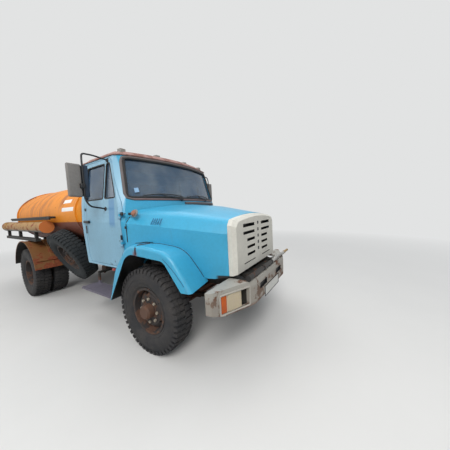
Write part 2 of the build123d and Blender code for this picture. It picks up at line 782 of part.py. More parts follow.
def build_bonnet():
    """Tilting bonnet: crowned top and creased sides, cut round the wings, and its two pivot arms."""
    outer = bonnet_solid(0, None, None)
    inner = bonnet_solid(bonnet_wall, 900, -400)
    shell = outer - inner - scuttle_region()
    for y0, y1 in ((-1300, -500), (500, 1300)):
        ahead = block(wing_split, front_overhang, y0, y1, 0, gutter_height)
        behind = block(cab_rear, wing_split + moving_gap / 2, y0, y1, 0, gutter_height)
        shell -= wing_region(y0, y1) & ahead
        shell -= wing_region(y0, y1, moving_gap) & behind
    low_edge = side_prism(((560, 700), (560, 940), (640, 868), (bonnet_front, 900), (1000, 900), (1000, 700)),
                          -800, 800)
    shell -= low_edge
    shell = shell.solids().sort_by(SortBy.VOLUME)[-1]
    bar_y = bonnet_sections[0][1] - 20
    shell += block(bonnet_front - 45, bonnet_front - 5, -bar_y, bar_y, 925, 965)
    for sign in (-1, 1):
        y0 = sign * bonnet_arm_y
        y1 = sign * (bonnet_arm_y + bonnet_arm_thickness)
        low, high = min(y0, y1), max(y0, y1)
        arm = side_prism(((838, 930), (872, 930), (876, 906), (bonnet_pivot_x + 10, bonnet_pivot_z + 26),
                          (bonnet_pivot_x + 10, bonnet_pivot_z - 26), (bonnet_pivot_x - 16, bonnet_pivot_z - 26),
                          (838, 872)), low, high)
        arm += rod_y(bonnet_pivot_x, bonnet_pivot_z, 30, low, high)
        arm -= rod_y(bonnet_pivot_x, bonnet_pivot_z, bonnet_pivot_radius + running_gap, low - 5, high + 5)
        shell += arm
    return shell


# Grille slots; columns: z, outer y, inner y, height

grille_slots = (
    (1452, 435, 113, 40),
    (1363, 435, 113, 34),
    (1274, 340, 113, 34),
    (1185, 340, 113, 34),
    (1097, 340, 113, 34),
    (1008, 435, 113, 12),
)
grille_holes = (1460, 1372, 1288, 1204, 1120)


def grille_profile(x, half, low, shoulder, crown):
    """Front-view face of the grille housing with an arched top."""
    x = at(x)
    arc = ThreePointArc((x, -half + 45, shoulder), (x, 0, crown), (x, half - 45, shoulder))
    points = [(x, half - 45, shoulder), (x, half, shoulder - 60), (x, half, low), (x, -half, low),
              (x, -half, shoulder - 60), (x, -half + 45, shoulder)]
    edges = [arc] + [Line(a, b) for a, b in zip(points, points[1:])]
    return make_face(Wire(edges))


def build_grille():
    """Pressed grille housing with six rows of slots each side of a column of square holes."""
    back, front = bonnet_front, bonnet_front + grille_depth
    outer = loft([grille_profile(back, 640, 915, 1535, 1585),
                  grille_profile(back + 45, 632, 918, 1530, 1580),
                  grille_profile(front, 600, 932, 1502, 1548)], ruled=True)
    wall = grille_wall
    inner = loft([grille_profile(back - 1, 640 - wall, 915 + wall, 1535 - wall, 1585 - wall),
                  grille_profile(back + 45, 632 - wall, 918 + wall, 1530 - wall, 1580 - wall),
                  grille_profile(front - wall, 600 - wall, 932 + wall, 1502 - wall, 1548 - wall)], ruled=True)
    grille = outer - inner
    for z, outer_y, inner_y, height in grille_slots:
        for sign in (-1, 1):
            y0, y1 = sorted((sign * outer_y, sign * inner_y))
            grille -= block(front - 60, front + 20, y0, y1, z - height / 2, z + height / 2)
    for z in grille_holes:
        grille -= block(front - 60, front + 20, -22, 22, z - 20, z + 20)
    return grille


# Bumper

bumper_corner_x = 925
bumper_corner_y = 1045
bumper_straight_y = 550
bumper_rear_x = 860
bumper_path = ((bumper_rear_x, -bumper_end_y), (bumper_corner_x, -bumper_corner_y),
               (front_overhang, -bumper_straight_y), (front_overhang, bumper_straight_y),
               (bumper_corner_x, bumper_corner_y), (bumper_rear_x, bumper_end_y))
bumper_radii = (40, 160, 160, 40)
bumper_open_y = 610
bumper_end_bottom = 672
bumper_end_rise_x = 985
bracket_thickness = 20
tow_middle_y = 290
tow_half_width = 115
tow_low = 730
tow_high = 800
lamp_inner_y = 630
lamp_outer_y = 955
lamp_low = 650
lamp_high = 826
lamp_depth = 80
lamp_wall = 10
# Lenses; columns: inner y, outer y
lamp_lenses = ((720, 880), (890, 954))


def bumper_prism(back, z0, z1):
    """Plan shape of the bumper moved back and narrowed by a wall, extruded between two heights."""
    narrow = 1 - back / bumper_end_y
    points = [(at(x - back), y * narrow, z0) for x, y in bumper_path]
    curve = FilletPolyline(*points, radius=list(bumper_radii))
    edges = curve.edges() + [Line(curve @ 1, curve @ 0)]
    return extrude(make_face(Wire(edges)), amount=z1 - z0, dir=(0, 0, 1))


def build_bumper():
    """Pressed bumper: deep face with swept ends, flanges, lamp openings and two towing openings."""
    wide = bumper_end_y + 10
    low = bumper_bottom - 10
    high = bumper_top + 10
    bumper = bumper_prism(0, bumper_bottom, bumper_top)
    bumper -= bumper_prism(bumper_wall, bumper_bottom + bumper_flange, bumper_top - bumper_flange)
    back = front_overhang - bumper_flange_depth
    bumper -= block(bumper_rear_x - 10, back, -bumper_open_y, bumper_open_y, low, high)
    bumper -= block(bumper_rear_x - 10, bumper_end_rise_x, -wide, wide, low, bumper_bottom + bumper_flange + 1)
    bumper -= side_prism(((bumper_rear_x - 10, low), (bumper_rear_x - 10, bumper_end_bottom),
                          (bumper_corner_x, bumper_end_bottom - 8), (bumper_end_rise_x, bumper_bottom),
                          (bumper_end_rise_x, low)), -wide, wide)
    for sign in (-1, 1):
        y0, y1 = sorted((sign * lamp_inner_y, sign * lamp_outer_y))
        bumper -= block(bumper_rear_x, front_overhang, y0, y1, lamp_low, lamp_high)
        middle = sign * tow_middle_y
        bumper -= block(front_overhang - bumper_wall - 5, front_overhang + 5, middle - tow_half_width,
                        middle + tow_half_width, tow_low, tow_high)
    for sign in (-1, 1):
        y0, y1 = sorted((sign * rail_outer, sign * (rail_outer - bracket_thickness)))
        bumper += block(rail_front, front_overhang - bumper_wall + 2, y0, y1, 716, 790)
    return bumper


def build_lamps():
    """Lamp units behind the bumper openings, each a swept bucket with a lens and an indicator."""
    rear_x = bumper_rear_x - 100
    outside = block(rear_x, front_overhang, -lamp_outer_y - 8, -lamp_inner_y + 8, lamp_low - 8, lamp_high + 8)
    inside = block(rear_x, front_overhang, -lamp_outer_y + 2, -lamp_inner_y - 2, lamp_low + 2, lamp_high - 2)
    deep = bumper_wall + lamp_depth
    behind = bumper_prism(deep, 0, bumper_top)
    floor = bumper_prism(deep - lamp_wall, 0, bumper_top)
    lamp = (outside & bumper_prism(bumper_wall, 0, bumper_top)) - behind - (inside - floor)
    for inner_y, outer_y in lamp_lenses:
        lens = block(rear_x, front_overhang, -outer_y, -inner_y, lamp_low + 3, lamp_high - 3)
        lens = lens & bumper_prism(lamp_wall, 0, bumper_top)
        lamp += lens - bumper_prism(deep - lamp_wall / 2, 0, bumper_top)
    rear = block(tail, tail + 55, -900, -640, 760, 880)
    arm = block(tail + 10, tail + 40, -640, -rail_outer, 790, 850)
    return pair(lamp) + pair(rear + arm)


# Front water pipe along the bumper's top

pipe_radius = 27
pipe_flange = 6
pipe_x = front_overhang - pipe_radius - pipe_flange - 0.5
pipe_z = bumper_top + pipe_radius + pipe_flange + 1
pipe_end_y = -640
pipe_joint_y = 90
pipe_flange_half = 7
elbow_radius = 24
elbow_x = front_overhang - elbow_radius
elbow_z = 944
nozzle_radius = 17
nozzle_start_y = 740
nozzle_end_y = 930


def build_front_pipe():
    """Spray pipe on the bumper with flanges, a raised elbow and a thin nozzle towards the left."""
    pipe = rod_y(pipe_x, pipe_z, pipe_radius, pipe_end_y, pipe_joint_y)
    for y in (pipe_end_y + pipe_flange_half, -215, -197, pipe_joint_y - pipe_flange_half):
        pipe += rod_y(pipe_x, pipe_z, pipe_radius + pipe_flange, y - pipe_flange_half, y + pipe_flange_half)
    route = ((pipe_x, pipe_joint_y - 10, pipe_z), (pipe_x, 190, pipe_z), (elbow_x, 300, elbow_z),
             (elbow_x, 480, elbow_z), (pipe_x, 600, pipe_z), (pipe_x, nozzle_start_y, pipe_z))
    path = FilletPolyline(*[(at(x), y, z) for x, y, z in route], radius=60)
    start = Plane(origin=path @ 0, z_dir=path % 0)
    pipe += sweep(start * Circle(elbow_radius), path=path)
    pipe += rod_y(pipe_x, pipe_z, nozzle_radius, nozzle_start_y - 5, nozzle_end_y)
    for y in (-430, 0, 400):
        pipe += block(pipe_x - 16, pipe_x + 16, y - 20, y + 20, bumper_top, pipe_z)
    return pipe


# Tank

def ellipse_face(x, half_y, half_z):
    """Elliptical cross-section face of the tank."""
    plane = Plane(origin=(at(x), 0, tank_centre_z), x_dir=(0, 1, 0), z_dir=(1, 0, 0))
    return plane * Ellipse(half_y, half_z)


def tank_body(grow):
    """Straight elliptical barrel, grown by a gap."""
    face = ellipse_face(tank_rear, tank_half_width + grow, tank_half_height + grow)
    return extrude(face, amount=tank_front - tank_rear, dir=(1, 0, 0))


head_steps = ((0, 1.0), (0.5, 0.965), (0.85, 0.84), (1.0, 0.60))
rim_width_x = 34
rim_reach = 20


def build_tank():
    """Elliptical tank with dished ends, weld rims and the manhole neck."""
    tank = tank_body(0)
    for end, way in ((tank_front, 1), (tank_rear, -1)):
        faces = [ellipse_face(end + way * share * tank_head, tank_half_width * size, tank_half_height * size)
                 for share, size in head_steps]
        tank += loft(faces, ruled=True)
    for x in (tank_front - 70, tank_rear + 40):
        face = ellipse_face(x, tank_half_width + rim_reach, tank_half_height + rim_reach)
        tank += extrude(face, amount=rim_width_x, dir=(1, 0, 0))
    top = tank_centre_z + tank_half_height
    tank += rod_z(hatch_x, 0, hatch_radius - 20, top - 60, top + hatch_height)
    tank += rod_z(hatch_x, 0, hatch_radius, top + hatch_height - 18, top + hatch_height)
    hinge_x = hatch_x - hatch_radius - 24
    for y in (-60, 60):
        lug = block(hinge_x - 16, hinge_x + 18, y - 10, y + 10, top + hatch_height - 60, top + hatch_height + 30)
        tank += lug - rod_y(hinge_x, lid_pivot_z, lid_pin_radius + running_gap, y - 20, y + 20)
    tank += block(hinge_x - 16, hinge_x + 60, -70, 70, top - 20, top + hatch_height - 30)
    flange_x = tank_rear - tank_head - 90
    outlet = rod_x(0, outlet_z, outlet_radius, flange_x, tank_rear)
    outlet += rod_x(0, outlet_z, outlet_flange_radius, flange_x, flange_x + outlet_flange_thickness)
    for turn in range(outlet_bolts):
        angle = math.radians((turn + 0.5) * 360 / outlet_bolts)
        y = outlet_bolt_circle * math.cos(angle)
        z = outlet_z + outlet_bolt_circle * math.sin(angle)
        outlet -= rod_x(y, z, outlet_bolt_radius, flange_x - 10, flange_x + outlet_flange_thickness + 10)
    tank += outlet
    return tank - rod_x(0, outlet_z, outlet_bore_radius, flange_x - 10, tank_rear)


outlet_z = 1240
outlet_radius = 55
outlet_bore_radius = 45
outlet_flange_radius = 110
outlet_flange_thickness = 18
outlet_bolts = 8
outlet_bolt_circle = 85
outlet_bolt_radius = 9
lid_pin_radius = 8
lid_pivot_z = tank_centre_z + tank_half_height + hatch_height + 14


def build_lid():
    """Domed manhole lid with hinge barrel, pin and grab handle."""
    top = tank_centre_z + tank_half_height + hatch_height + 0.5
    lid = rod_z(hatch_x, 0, hatch_radius, top, top + lid_thickness * 0.6)
    lid += Pos(at(hatch_x), 0, top + lid_thickness * 0.6 + 8) * Cone(hatch_radius - 20, hatch_radius - 110, 16)
    hinge_x = hatch_x - hatch_radius - 24
    lid += block(hinge_x, hatch_x - hatch_radius + 30, -44, 44, top + 2, top + lid_thickness * 0.6)
    lid += rod_y(hinge_x, lid_pivot_z, 14, -44, 44)
    lid += rod_y(hinge_x, lid_pivot_z, lid_pin_radius, -84, 84)
    handle_z = top + 60
    lid += rod_y(hatch_x + 120, handle_z, 8, -70, 70)
    for y in (-66, 66):
        lid += rod_z(hatch_x + 120, y, 8, top + 10, handle_z)
    return lid


saddle_places = (-2000, -2900, -3800, -4800)
saddle_half = 615


def build_cradle():
    """Sub-frame beams on the rails, with saddles shaped to the tank."""
    beam = block(tank_rear, tank_front, -rail_outer, -rail_outer + rail_flange, rail_top, rail_top + 90)
    cradle = beam + flip(beam)
    for x in saddle_places:
        cradle += block(x - 40, x + 40, -saddle_half, saddle_half, rail_top + 60, 1210)
    return cradle - tank_body(0)


# Side gear: hose cases, bars and ladder

case_brackets = (-3000, -4000, -4850)
bar_z = 1662
bar_y = case_y + 10
shelf_z = 1200


def build_hose_cases():
    """Long round hose case along each side, with end caps and brackets on the tank."""
    case = rod_x(-case_y, case_z, case_radius, case_rear, case_front)
    for x in (case_front - 10, case_rear + 30, case_rear + 320):
        case += rod_x(-case_y, case_z, case_radius + 7, x - 12, x + 10)
    for x in case_brackets:
        bracket = block(x - 30, x + 30, -case_y + 40, -tank_half_width + 90, case_z - 45, case_z + 45)
        case += bracket - tank_body(0)
    return pair(case)


def build_side_bars():
    """Black bars beside the tank, the shelf under each hose case, and the ladder behind."""
    bar = rod_x(-bar_y, bar_z, 20, -4950, -2640)
    for x in (-2640, -4950):
        bar += Pos(at(x), -bar_y, bar_z) * Sphere(20)
        bar += rod_y(x, bar_z, 20, -bar_y, -tank_half_width + 10) - tank_body(0)
    shelf = block(-5450, -3250, -case_y - 45, -case_y + 35, shelf_z, shelf_z + 60)
    for x in (-3330, -4400, -5340):
        shelf += block(x - 30, x + 30, -case_y - 30, -case_y + 20, shelf_z + 50, case_z) \
            - rod_x(-case_y, case_z, case_radius, -6000, -2000)
    ladder_x = tank_rear - tank_head - 60
    ladder = None
    for y in (250, 610):
        rail = block(ladder_x - 20, ladder_x + 20, y - 15, y + 15, rail_top, 2200)
        ladder = rail if ladder is None else ladder + rail
    for step in range(5):
        ladder += rod_y(ladder_x, 1050 + step * 260, 14, 250, 610)
    for y in (250, 610):
        ladder += block(ladder_x, tank_rear + 5, y - 15, y + 15, 1880, 1910) - tank_whole
    ladder += block(ladder_x - 20, ladder_x + 20, 235, 625, rail_top, rail_top + 30)
    return pair(bar) + pair(shelf) + [ladder]


mudguard_sweep = 156
mudguard_stay_angles = (26, 154)


def build_mudguards():
    """Rolled guards over the twin wheels, stiffened by a lip and a rib, on stays from the rails."""
    top = mudguard_radius
    low = top - mudguard_wall
    lip = -mudguard_outer
    points = [(low, lip), (top + 12, lip), (top + 12, lip + 18), (top, lip + 18), (top, -960), (top + 9, -955),
              (top + 9, -930), (top, -925), (top, -mudguard_inner), (low, -mudguard_inner)]
    start = (180 - mudguard_sweep) / 2
    path = Polyline(*[(r, y, 0) for r, y in points], close=True)
    skin = revolve(make_face(path), Axis.Y, mudguard_sweep)
    guard = wheel_at(Rot(0, start - 180, 0) * skin, -wheelbase, 0)
    for angle in mudguard_stay_angles:
        reach = top + 14
        x = -wheelbase + reach * math.cos(math.radians(angle))
        z = axle_z + reach * math.sin(math.radians(angle))
        guard += rod_y(x, z, 18, lip + 40, -rail_outer)
    return pair(guard)


# Lower gear

def build_engine():
    """One plain block with the engine's size and place."""
    return block(-190, 560, -engine_half, engine_half, 735, 1400)


def build_driveline():
    """Gearbox behind the engine and the propeller shaft to the rear axle."""
    box = block(-960, -241, -190, 190, 600, 905)
    start = Vector(at(-960), 0, 670)
    finish = Vector(at(-wheelbase + 300), 0, axle_z)
    plane = Plane(origin=start, z_dir=finish - start)
    shaft = extrude(plane * Circle(46), amount=(finish - start).length)
    joint = extrude(plane * Circle(72), amount=90)
    flange = rod_x(0, axle_z, 60, -wheelbase + 280, -wheelbase + 306)
    return [box + shaft + joint + flange]


def build_radiator():
    """Radiator core with header tanks behind the grille."""
    core = block(650, 720, -390, 390, 985, 1420)
    return core + block(635, 735, -400, 400, 1420, 1490) + block(635, 735, -400, 400, rail_top, 985)


def build_steps():
    """Cab steps on brackets from the rails."""
    plate = block(-1600, -705, -1085, -830, step_z - 28, step_z)
    plate -= block(-1585, -720, -1070, -845, step_z - 40, step_z - 6)
    step = plate
    for x in (-820, -1520):
        step += block(x - 25, x + 25, -850, -rail_outer, step_z + 160, step_z + 190)
        step += block(x - 25, x + 25, -860, -838, step_z - 20, step_z + 190)
    return pair(step)


def build_fuel_tank():
    """Fuel tank on the left, ahead of the rear wheels, on two brackets."""
    rear = -wheelbase + mudguard_radius + 100
    front = rear + fuel_tank_length
    tank = block(rear, front, 560, 1040, 520, 960)
    tank = fillet(tank.edges().filter_by(Axis.X), 90)
    tank += rod_z(front - 100, 900, 45, 940, 990)
    for x in (front - 200, rear + 200):
        tank += block(x - 30, x + 30, rail_outer, 600, 730, 880)
    return tank


spare_place = (-2450, -850, 935)
spare_tilt = 25


def spare_move():
    """Place of the spare wheel: under the tank's right side, its top leaning outwards."""
    x, y, z = spare_place
    return Pos(at(x), y, z) * Rot(spare_tilt, 0, 0)


def build_spare_carrier():
    """Bracket from the right rail to the middle of the spare wheel's disc."""
    x = spare_place[0]
    outline = ((-rail_outer, 790), (-rail_outer, 900), (-690, 1040), (-735, 935), (-600, 845))
    path = Polyline(*[(at(x - 55), y, z) for y, z in outline], close=True)
    post = extrude(make_face(path), amount=110, dir=(1, 0, 0))
    post += spare_move() * Pos(0, 60, 0) * Rot(90, 0, 0) * Cylinder(50, 200)
    post += spare_move() * Pos(0, -38.75, 0) * Rot(90, 0, 0) * Cylinder(118, 17.5)
    return post


def build_exhaust():
    """Silencer under the frame's left side and its tail pipe."""
    pipe = rod_x(300, 620, 95, -1950, -1150)
    pipe += rod_x(300, 620, 35, -1150, -300) + rod_x(300, 620, 35, -2400, -1950)
    for x in (-1300, -1650):
        pipe += block(x - 20, x + 20, 340, 380, 690, rail_top - rail_height)
    return pipe


def build_pump():
    """Water pump under the frame with its outlet pipe and valve on the right side."""
    body = rod_x(-200, 640, 120, -2080, -1800)
    body += block(-2000, -1900, -300, -100, 700, 780)
    body += rod_y(-1940, 640, 45, -560, -250)
    body += rod_y(-1940, 640, 75, -575, -560)
    return body


def build_seats():
    """Driver's seat on the left and a double seat on the right."""
    seats = []
    for y0, y1 in ((230, 740), (-800, -60)):
        cushion = block(-1330, -850, y0, y1, 1245, 1380)
        back = side_prism(((-1330, 1370), (-1410, 1980), (-1300, 1980), (-1215, 1370)), y0, y1)
        base = block(-1300, -900, y0 + 60, y1 - 60, cab_floor + cab_floor_thickness, 1250)
        seats.append(cushion + base + back)
    return seats


def build_dashboard():
    """Dashboard across the cab with the steering column and wheel on the left."""
    board = side_prism(((-200, 1500), (-200, 1790), (-640, 1800), (-740, 1740), (-700, 1560), (-600, 1480)),
                       -900, 900)
    board = board & cab_solid(-cab_wall)
    y = 480
    centre = Vector(at(-830), y, 1790)
    tilt = Plane(origin=centre, z_dir=(-0.55, 0, 0.83))
    rim = tilt * Torus(228, 15)
    hub = extrude(tilt * Circle(42), amount=-40)
    column = extrude(tilt * Circle(24), amount=-420)
    spokes = None
    for turn in (0, 120, 240):
        spoke = tilt * Rot(0, 0, turn) * Pos(115, 0, -8) * Box(226, 26, 12)
        spokes = spoke if spokes is None else spokes + spoke
    wheel = rim + hub + column + spokes
    return board + wheel


# Build every node

os.makedirs("parts", exist_ok=True)

tank_whole = build_tank()
rail_right = build_rail()
save("frame", rail_right + build_spare_carrier(), flip(rail_right), *build_cross_members())
save("leaf_springs", *build_springs())
save("front_axle", build_front_axle())
save("rear_axle", build_rear_axle())
save("engine_block", build_engine(), build_radiator())
save("driveline", *build_driveline(), build_pump(), build_exhaust())
save("bumper", build_bumper())
save("lamps", *build_lamps())
save("front_pipe", build_front_pipe())
save("cab_shell", build_cab())
save("cab_roof", build_roof())
save("cab_glass", *build_cab_glass())
save("seats", *build_seats())
save("dashboard", build_dashboard())
save("steps", *build_steps())
save("fuel_tank", build_fuel_tank())
save("tank", tank_whole)
save("tank_lid", build_lid())
save("tank_cradle", build_cradle())
save("hose_cases", *build_hose_cases())
save("side_bars", *build_side_bars())
save("mudguards", *build_mudguards())
save("bonnet", build_bonnet())
save("grille", build_grille())

split_half = moving_gap / 2
save("front_wings", *pair(wing_half(wing_split + split_half, wing_taper_end, wing_front_bottom)))
save("rear_wings", *pair(wing_half(cab_rear, wing_split - split_half, wing_line_inner[0][1])))

door_right = build_door(-1)
save("door_right", door_right)
save("door_left", flip(door_right))
glass_right = Compound(children=build_door_glass(-1))
save("door_glass_right", glass_right)
save("door_glass_left", flip(glass_right))
mirror_right = build_mirror()
save("mirror_right", mirror_right)
save("mirror_left", flip(mirror_right))

knuckle_right = build_knuckle()
save("knuckle_right", knuckle_right)
save("knuckle_left", flip(knuckle_right))
save("tie_rod", build_tie_rod())

tyre = tyre_shape()
front_y = -front_track / 2
rim_right = wheel_at(front_wheel(True), 0, front_y)
tyre_right = wheel_at(tyre, 0, front_y)
save("rim_front_right", rim_right)
save("rim_front_left", flip(rim_right))
save("tyre_front_right", tyre_right)
save("tyre_front_left", flip(tyre_right))
rims_right = wheel_at(rear_wheel(), -wheelbase, -twin_track / 2)
tyres_right = [wheel_at(tyre, -wheelbase, -y) for y in (twin_inner_y, twin_outer_y)]
save("rims_rear_right", rims_right)
save("rims_rear_left", flip(rims_right))
save("tyres_rear_right", *tyres_right)
save("tyres_rear_left", *[flip(item) for item in tyres_right])
save("spare_rim", spare_move() * front_wheel(False))
save("spare_tyre", spare_move() * tyre)
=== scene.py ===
import json
import math
import bpy
from mathutils import Matrix, Vector


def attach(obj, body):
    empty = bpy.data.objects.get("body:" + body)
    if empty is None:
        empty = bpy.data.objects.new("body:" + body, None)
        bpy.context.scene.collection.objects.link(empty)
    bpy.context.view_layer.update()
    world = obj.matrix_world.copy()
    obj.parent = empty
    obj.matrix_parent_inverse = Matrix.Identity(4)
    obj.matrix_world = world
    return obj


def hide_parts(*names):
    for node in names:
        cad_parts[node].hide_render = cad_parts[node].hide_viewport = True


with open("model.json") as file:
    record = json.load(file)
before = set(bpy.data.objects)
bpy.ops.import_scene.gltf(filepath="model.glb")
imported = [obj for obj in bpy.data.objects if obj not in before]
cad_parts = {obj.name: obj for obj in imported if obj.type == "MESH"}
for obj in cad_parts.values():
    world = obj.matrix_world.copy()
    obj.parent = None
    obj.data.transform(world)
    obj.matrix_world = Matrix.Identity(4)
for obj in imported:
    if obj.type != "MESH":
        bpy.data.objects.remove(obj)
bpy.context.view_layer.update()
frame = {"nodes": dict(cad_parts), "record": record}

bl_info = {
    "name": "Tanker Truck",
    "version": (1, 0, 0),
    "blender": (4, 5, 0),
    "location": "View3D > Sidebar > Truck",
    "description": "Dresses a bonneted tanker truck: paint, rust, tyres, glass seals, seats and trim",
    "category": "Add Mesh",
}

# All sizes in metres. Places along the truck are given from the front axle, as in the part's source.
FRONT_AXLE_X = 2.18
WHEELBASE = 3.8
AXLE_Z = 0.509
FRONT_TRACK = 1.93
TWIN_INNER_Y = 0.77
TWIN_OUTER_Y = 1.08
BUMPER_X = 1.14
REAR_WINDOW_X = -1.462

# Bodies that a right-hand piece and its mirrored twin ride on
DOORS = ("door_right", "door_left")
CHASSIS = ("chassis", "chassis")
BONNET = ("bonnet", "bonnet")

MERGE_DISTANCE = 0.00002
BAR_RESOLUTION = 3
GLASS_IOR = 1.45


def at(x, y, z):
    """A point in the frame from its place measured from the front axle."""
    return Vector((FRONT_AXLE_X + x, y, z))


# Colours

def linear(code):
    """Linear colour with alpha from an sRGB hex code."""
    parts = [int(code[i:i + 2], 16) / 255 for i in (1, 3, 5)]
    return tuple(p / 12.92 if p <= 0.04045 else ((p + 0.055) / 1.055) ** 2.4 for p in parts) + (1.0,)


def colour_prop(name, about, code):
    """Colour property that a user can change."""
    return bpy.props.FloatVectorProperty(
        name=name, description=about, subtype="COLOR", size=4, min=0.0, max=1.0, default=linear(code))


class TruckPaints(bpy.types.PropertyGroup):
    cab: colour_prop("Cab blue", "Light blue paint of the cab and bonnet", "#3FA8CE")
    door: colour_prop("Door blue", "Paler, greyer blue of the doors", "#86B6CE")
    tank: colour_prop("Tank orange", "Orange paint of the tank", "#EC8F12")
    streak: colour_prop("Rust streak", "Brown rust that runs down the tank", "#8E4A2C")
    # Lower tank: painted shade of the tank's lower half, with dirt, in red-brown
    belly_shade: colour_prop("Lower tank", "Red-brown underside of the tank", "#74402F")
    guard: colour_prop("Mudguard brown", "Orange-brown paint of the rear mudguards", "#8A5C30")
    case: colour_prop("Hose case ochre", "Ochre paint of the hose cases", "#A87B30")
    grille: colour_prop("Grille white", "Off-white paint of the grille", "#DAD7CC")
    bumper: colour_prop("Bumper grey", "Weathered grey paint of the bumper", "#ABA79E")
    roof: colour_prop("Roof rust", "Roof paint worn to pinkish brown rust", "#A27C74")
    chassis: colour_prop("Chassis black", "Dusty black paint of the frame", "#25231F")
    rubber: colour_prop("Tyre rubber", "Worn dusty rubber", "#2A2A2C")


class TruckSizes(bpy.types.PropertyGroup):
    tread_depth: bpy.props.FloatProperty(
        name="Tread depth", description="Height of the tyre's tread blocks", default=0.013, unit="LENGTH")
    tread_pitches: bpy.props.IntProperty(
        name="Tread pitches", description="Tread blocks round one tyre", default=46, min=12)
    seal_radius: bpy.props.FloatProperty(
        name="Glass seal", description="Radius of the seal round the glass", default=0.014, unit="LENGTH")
    pad_voxel: bpy.props.FloatProperty(
        name="Pad mesh", description="Mesh size of the seat pads", default=0.01, unit="LENGTH")


# Nodes of materials

def fed(node, inputs):
    """Give a node its inputs, each a value or another node's output."""
    for socket, value in inputs.items():
        if isinstance(value, bpy.types.NodeSocket):
            node.id_data.links.new(value, node.inputs[socket])
        else:
            node.inputs[socket].default_value = value
    return node


def add_node(tree, kind, inputs=None, **settings):
    """Add a shader node with its settings and inputs."""
    made = tree.nodes.new("ShaderNode" + kind)
    for key, value in settings.items():
        setattr(made, key, value)
    return fed(made, inputs or {})


def new_material(name):
    """Empty material with its shader, and the object coordinates."""
    material = bpy.data.materials.new(name)
    material.use_nodes = True
    tree = material.node_tree
    tree.nodes.clear()
    shader = add_node(tree, "BsdfPrincipled")
    add_node(tree, "OutputMaterial", {"Surface": shader.outputs["BSDF"]})
    place = add_node(tree, "TexCoord").outputs["Object"]
    return material, shader, place


def relief(height, strength, distance):
    """Normal of a surface with small bumps."""
    inputs = {"Height": height, "Strength": strength, "Distance": distance}
    return add_node(height.id_data, "Bump", inputs).outputs[0]


def blended(factor, first, second):
    """Colour between two, each a colour or an output."""
    mix = add_node(factor.id_data, "Mix", {0: factor, 6: first, 7: second}, data_type="RGBA")
    return mix.outputs[2]


def noise(place, scale, detail=5.0, stretch=None):
    """Noise between 0 and 1 at a scale per metre, drawn out where stretch is small."""
    tree = place.id_data
    if stretch:
        place = add_node(tree, "Mapping", {"Vector": place, "Scale": stretch}).outputs[0]
    inputs = {"Vector": place, "Scale": scale, "Detail": detail, "Roughness": 0.62}
    return add_node(tree, "TexNoise", inputs).outputs["Fac"]


def ramp(value, low, high):
    """Value run from 0 to 1 between two limits."""
    inputs = {"Value": value, "From Min": low, "From Max": high}
    return add_node(value.id_data, "MapRange", inputs).outputs[0]


def arithmetic(operation, *values, clamp=False):
    """Output of a sum on one value or two, the first an output."""
    settings = {"operation": operation, "use_clamp": clamp}
    return add_node(values[0].id_data, "Math", dict(enumerate(values)), **settings).outputs[0]


def combined(operation, first, second):
    """Arithmetic on two values, kept between 0 and 1."""
    return arithmetic(operation, first, second, clamp=True)


def product(first, *others):
    """Masks multiplied together."""
    for mask in others:
        first = combined("MULTIPLY", first, mask)
    return first


def highest(first, *others):
    """The highest of some masks."""
    for mask in others:
        first = combined("MAXIMUM", first, mask)
    return first


def length(vector):
    """Length of a vector."""
    return add_node(vector.id_data, "VectorMath", {0: vector}, operation="LENGTH").outputs["Value"]


def axes(place):
    """The three coordinates of a place."""
    return add_node(place.id_data, "SeparateXYZ", {0: place}).outputs


def zone(value, low, high, soft=0.004):
    """1 between two limits of a coordinate, 0 outside, with soft edges."""
    return product(ramp(value, low - soft, low + soft), ramp(value, high + soft, high - soft))


def off_axle(x, z, axle_x):
    """Distance from an axle's line, seen from the side."""
    sides = {0: arithmetic("SUBTRACT", x, axle_x), 1: arithmetic("SUBTRACT", z, AXLE_Z)}
    return length(add_node(x.id_data, "CombineXYZ", sides).outputs[0])


def shaded(code, by):
    """The colour made darker, or lighter over 1."""
    return tuple(min(c * by, 1.0) for c in code[:3]) + (1.0,)


def weathered(name, colour, rust, patches=0.62, streaks=0.0, low_z=0.0, roughness=0.45):
    """Old paint: faded in clouds, grimy, rusted in patches and streaks, most below low_z."""
    material, shader, place = new_material(name)
    height = axes(place)[2]
    faded = blended(ramp(noise(place, 1.6, 4.0), 0.35, 0.7), colour, shaded(colour, 0.84))
    grain = ramp(noise(place, 38.0, 6.0), 0.42, 0.75)
    paint = blended(product(grain, 0.3), faded, shaded(colour, 0.62))
    spots = noise(place, 7.5, 9.0)
    lower = ramp(height, low_z + 0.35, low_z - 0.05)
    edge = combined("ADD", spots, product(lower, 0.13))
    rusted = ramp(edge, patches, patches + 0.05)
    if streaks:
        runs = noise(place, 9.0, 5.0, (1.0, 1.0, 0.07))
        rusted = highest(rusted, product(ramp(runs, 0.6, 0.72), streaks))
    base = blended(rusted, paint, blended(grain, rust, shaded(rust, 0.55)))
    inputs = {"Value": rusted, "To Min": roughness, "To Max": 0.85}
    rough = add_node(place.id_data, "MapRange", inputs).outputs[0]
    fed(shader, {"Base Color": base, "Roughness": rough, "Normal": relief(spots, 0.15, 0.004)})
    return material, shader, place, base


def coordinates(made, wanted):
    """Coordinates of a weathered material by letter; x is from the front axle, s is y without its sign."""
    x, y, z = axes(made[2])
    found = {"x": arithmetic("SUBTRACT", x, FRONT_AXLE_X), "y": y, "z": z, "s": arithmetic("ABSOLUTE", y)}
    return [found[letter] for letter in wanted]


def layered(made, *layers):
    """Lay colours over a weathered material, each as (mask, colour), and give back the material."""
    material, shader, _, base = made
    for mask, colour in layers:
        base = blended(mask, base, colour)
    fed(shader, {"Base Color": base})
    return material


